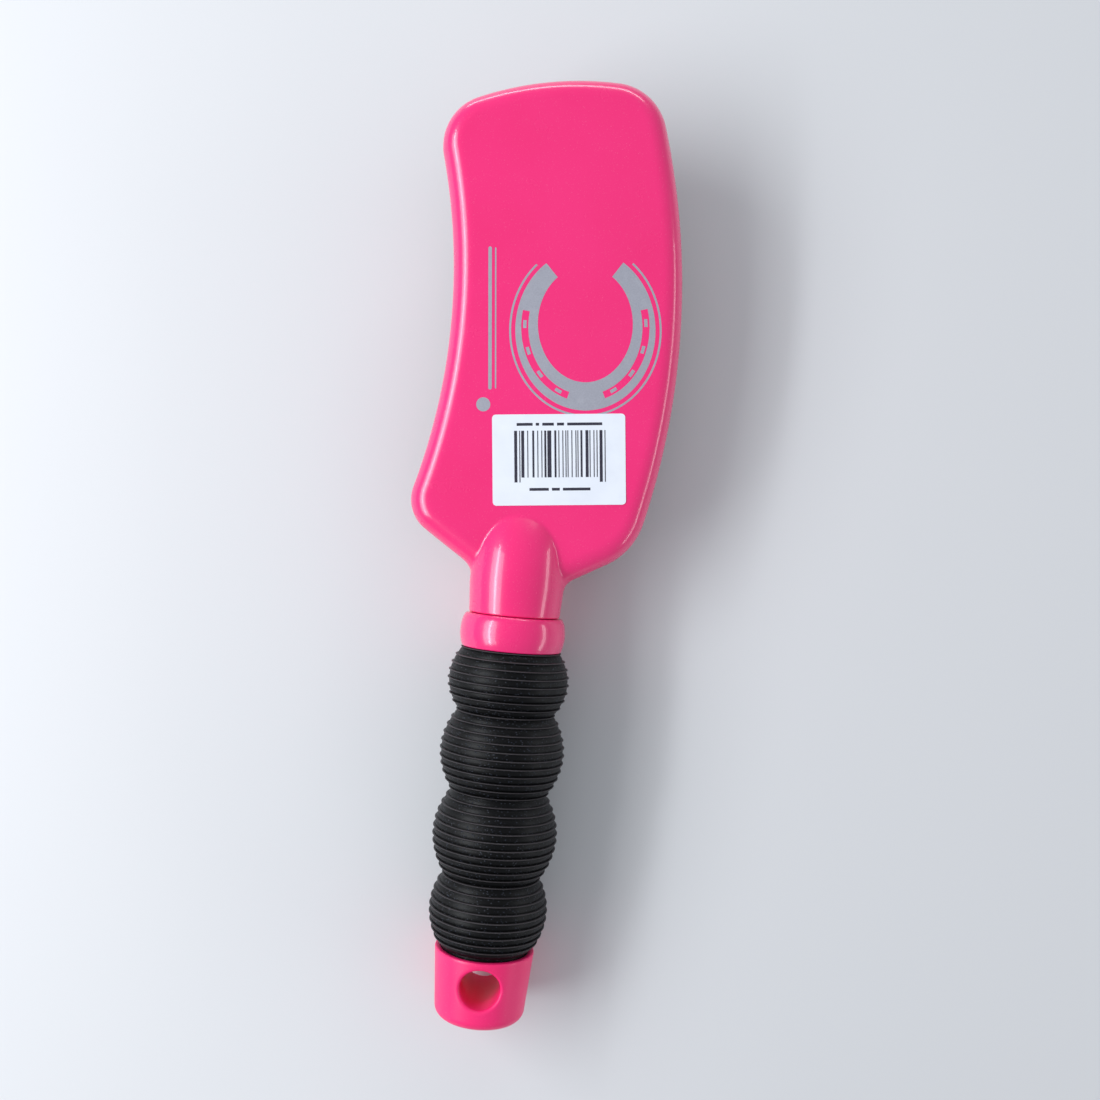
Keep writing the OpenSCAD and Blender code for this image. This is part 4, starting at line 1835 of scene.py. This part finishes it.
@dataclass
class SilverPrint:
    """The silver print on the back: a plain horseshoe and a pinstripe."""

    where: BrushFrame
    centre: Pair = (12.3, 79.0)
    turn_deg: float = 5.6
    half_wide: float = 15.8
    half_tall: float = 18.6
    toe_w: float = 7.6
    heel_w: float = 4.6
    open_deg: float = 146.0
    crease_w: float = 1.9
    crease: Pair = (17.0, 104.0)
    crease_off: float = 0.5
    nails: tuple[float, ...] = (27.0, 49.0, 71.0, 93.0)
    nail_half_deg: float = 3.2
    nail_w: float = 0.9
    band_gap: float = 1.1
    band_w: float = 0.55
    band_short_deg: float = 6.0
    steps: int = 90
    stripe: tuple[Pair, Pair] = ((-15.1, 97.9), (-11.8, 60.5))
    stripe_lines: tuple[Pair, ...] = ((0.0, 0.95), (1.5, 0.4))
    dot: tuple[float, float, float] = (-13.2, 55.9, 1.9)
    ink_t: float = 0.02
    back_z: float = 6.0

    def _shoe_point(self, angle: float, off: float) -> Pair:
        """A point of the shoe, off its middle line by a distance along its normal.

        Args:
            angle: the angle from the toe, in radians.
            off: the distance, positive outwards.

        Returns:
            The point.
        """
        x, y = self.half_wide * math.sin(angle), -self.half_tall * math.cos(angle)
        nx, ny = math.sin(angle) / self.half_wide, -math.cos(angle) / self.half_tall
        length = math.hypot(nx, ny)
        return x + off * nx / length, y + off * ny / length

    def _width(self, angle: float) -> float:
        """The shoe's width, widest at the toe."""
        return self.heel_w + (self.toe_w - self.heel_w) * math.cos(angle / 2) ** 2

    def _sector(self, low: float, high: float, off: float, wide: float, steps: int) -> list[Pair]:
        """A stretch of band that follows the shoe, between two angles in degrees.

        Args:
            low: where it starts.
            high: where it ends.
            off: how far it lies off the middle line.
            wide: its width.
            steps: points on each side.

        Returns:
            A closed loop.
        """
        angles = np.radians(np.linspace(low, high, steps))
        return [*(self._shoe_point(a, off + wide / 2) for a in angles),
                *(self._shoe_point(a, off - wide / 2) for a in angles[::-1])]

    def _shoe(self) -> list[list[Pair]]:
        """The shoe's rim, a crease in each branch and the nails in the creases.

        Returns:
            Closed loops, a hole inside what it is cut from.
        """
        end = math.radians(self.open_deg)
        angles = np.linspace(-end, end, self.steps)
        outer = [self._shoe_point(a, self._width(a) / 2) for a in angles]
        inner = [self._shoe_point(a, -self._width(a) / 2) for a in angles[::-1]]
        loops = [outer + inner]
        for sign in (-1, 1):
            low, high = sorted((sign * self.crease[0], sign * self.crease[1]))
            loops.append(self._sector(low, high, self.crease_off, self.crease_w, 40))
            loops += [self._sector(sign * nail - self.nail_half_deg, sign * nail + self.nail_half_deg,
                                   self.crease_off, self.nail_w, 5)
                      for nail in self.nails]
        return loops

    def _outline_band(self, gap: float, width: float) -> list[Pair]:
        """A thin line that follows the shoe outside.

        Args:
            gap: its distance from the shoe.
            width: its width.

        Returns:
            A closed loop.
        """
        end = math.radians(self.open_deg - self.band_short_deg)
        angles = np.linspace(-end, end, self.steps)
        near = [self._shoe_point(a, self._width(a) / 2 + gap) for a in angles]
        far = [self._shoe_point(a, self._width(a) / 2 + gap + width) for a in angles[::-1]]
        return near + far

    def _stripe(self, shift: float, width: float) -> list[Pair]:
        """A straight line with round ends beside the shoe.

        Args:
            shift: how far it lies off the stripe's middle.
            width: its width.

        Returns:
            A closed loop.
        """
        a, b = (np.array(p) for p in self.stripe)
        along = (b - a) / np.hypot(*(b - a))
        across = np.array((-along[1], along[0]))
        ends = []
        for point, start in ((b, -90), (a, 90)):
            for t in np.radians(np.linspace(start, start + 180, 9)):
                turn = along * math.cos(t) + across * math.sin(t)
                ends.append(tuple(point + across * shift + turn * width / 2))
        return ends

    def _film(self, name: str, loops: Sequence[Sequence[Pair]]) -> bpy.types.Mesh:
        """A thin flat film inside closed loops, where a loop in another is a hole.

        Args:
            name: the mesh's name.
            loops: the loops.

        Returns:
            A closed mesh.
        """
        curve = bpy.data.curves.new(name, "CURVE")
        curve.dimensions, curve.fill_mode, curve.extrude = "2D", "BOTH", self.ink_t / 2
        for loop in loops:
            line = curve.splines.new("POLY")
            line.points.add(len(loop) - 1)
            for point, (x, y) in zip(line.points, loop):
                point.co = (x, y, 0, 1)
            line.use_cyclic_u = True
        thing = bpy.data.objects.new(name, curve)
        bpy.context.scene.collection.objects.link(thing)
        mesh = evaluated_mesh(thing, name)
        face_outwards(mesh)
        return mesh

    def build(self) -> None:
        """Prints the shoe and the pinstripe."""
        silver = SILVER.material()
        band = self._outline_band(self.band_gap, self.band_w)
        shoe = self._film("silver_horseshoe", [*self._shoe(), band])
        turn = Matrix.Rotation(math.radians(self.turn_deg), 4, "Z")
        height = self.back_z + self.ink_t / 2
        shoe.transform(Matrix.Translation((*self.centre, height)) @ turn)
        x, y, r = self.dot
        disc = [(x + r * math.cos(t), y + r * math.sin(t))
                for t in np.linspace(0, TURN, 40, endpoint=False)]
        stripes = [self._stripe(shift, width) for shift, width in self.stripe_lines]
        line = self._film("silver_pinstripe", [*stripes, disc])
        line.transform(Matrix.Translation((0, 0, height)))
        for mesh in (shoe, line):
            install(mesh, self.where, HANDLE, Slot.SILVER_INK, silver)


# ---------------------------------------------------------------- studio


@dataclass(frozen=True)
class SoftLight:
    """A soft box: where it hangs, what it faces, its size and its power."""

    name: str
    place: tuple[float, float, float]
    aim: tuple[float, float, float]
    size: Pair
    power: float
    colour: Colour = (1.0, 1.0, 1.0)


@dataclass
class Studio:
    """Floor, sky, soft boxes and camera."""

    where: BrushFrame
    over: tuple[float, float, float] = (8.17, 18.49, 305.0)
    lean_deg: float = 5.12
    lens: float = 36.39
    sensor: float = 36.0
    clip: Pair = (0.01, 20.0)
    floor_half: float = 2.2
    floor_cells: int = 8
    sky_colour: Colour = (0.86, 0.92, 1.0)
    sky_strength: float = 0.44
    lights: tuple[SoftLight, ...] = (
        SoftLight("left_box", (-0.60, -0.04, 0.52), (0.0, -0.02, 0.0), (0.9, 0.42), 4.8,
                  (0.95, 0.97, 1.0)),
        SoftLight("left_strip", (-0.50, 0.0, 0.44), (0.0, 0.0, 0.0), (0.8, 0.06), 1.6,
                  (0.90, 0.95, 1.0)),
        SoftLight("head_box", (-0.05, 0.80, 0.20), (0.0, 0.05, 0.08), (0.10, 0.9), 2.0,
                  (0.95, 0.98, 1.0)),
        SoftLight("right_strip", (0.75, -0.05, 0.24), (0.0, 0.0, 0.02), (0.9, 0.12), 1.4,
                  (0.97, 0.98, 1.0)),
    )

    def _floor(self) -> None:
        """A plain floor under the brush."""
        work = bmesh.new()
        bmesh.ops.create_grid(work, x_segments=self.floor_cells, y_segments=self.floor_cells,
                              size=self.floor_half)
        mesh = bpy.data.meshes.new("floor")
        work.to_mesh(mesh)
        work.free()
        mesh.materials.append(PaleFloor().material())
        bare_object(mesh)

    def _sky(self) -> None:
        """An even, slightly cool sky."""
        world = bpy.data.worlds.new("soft_sky")
        world.use_nodes = True
        sky = world.node_tree.nodes["Background"]
        sky.inputs["Color"].default_value = (*self.sky_colour, 1.0)
        sky.inputs["Strength"].default_value = self.sky_strength
        bpy.context.scene.world = world

    def _light(self, box: SoftLight) -> None:
        """Hangs one soft box.

        Args:
            box: the soft box.
        """
        lamp = bpy.data.lights.new(box.name, "AREA")
        lamp.shape, lamp.size, lamp.size_y = "RECTANGLE", *box.size
        lamp.energy, lamp.color = box.power, box.colour
        thing = bpy.data.objects.new(box.name, lamp)
        bpy.context.scene.collection.objects.link(thing)
        thing.location = box.place
        away = Vector(box.aim) - Vector(box.place)
        side = Vector((0, 1, 0.001))
        back = -away.normalized()
        across = (side - back * side.dot(back)).normalized()
        thing.matrix_world = (Matrix.Translation(box.place)
                              @ Matrix((across, back.cross(across), back)).transposed().to_4x4())

    def _camera(self) -> None:
        """The camera, straight over the brush's back."""
        lean = math.radians(self.lean_deg)
        up = self.where.along * math.cos(lean) - self.where.across * math.sin(lean)
        back = self.where.up
        right = up.cross(back)
        data = bpy.data.cameras.new("camera")
        data.lens, data.sensor_width = self.lens, self.sensor
        data.clip_start, data.clip_end = self.clip
        camera = bpy.data.objects.new("camera", data)
        bpy.context.scene.collection.objects.link(camera)
        camera.matrix_world = (Matrix.Translation(self.where.point(*self.over))
                               @ Matrix((right, up, back)).transposed().to_4x4())
        bpy.context.scene.camera = camera

    def build(self) -> None:
        """Sets the studio up."""
        bpy.context.scene.view_settings.view_transform = "Standard"
        self._floor()
        self._sky()
        for box in self.lights:
            self._light(box)
        self._camera()


def main() -> None:
    """Builds every piece in order."""
    where = BrushFrame.from_record(frame["record"], EndCap.hole_y)
    body = BrushBody(where, HeadOutline())
    moulding = body.build()
    PinField(where, body).build()
    Collar(where).build(moulding.data.materials[0])
    Grip(where).build()
    EndCap(where).build()
    PriceLabel(where).build()
    SilverPrint(where).build()
    Studio(where).build()


if __name__ == "__main__":
    logging.basicConfig(level=logging.INFO)
    main()
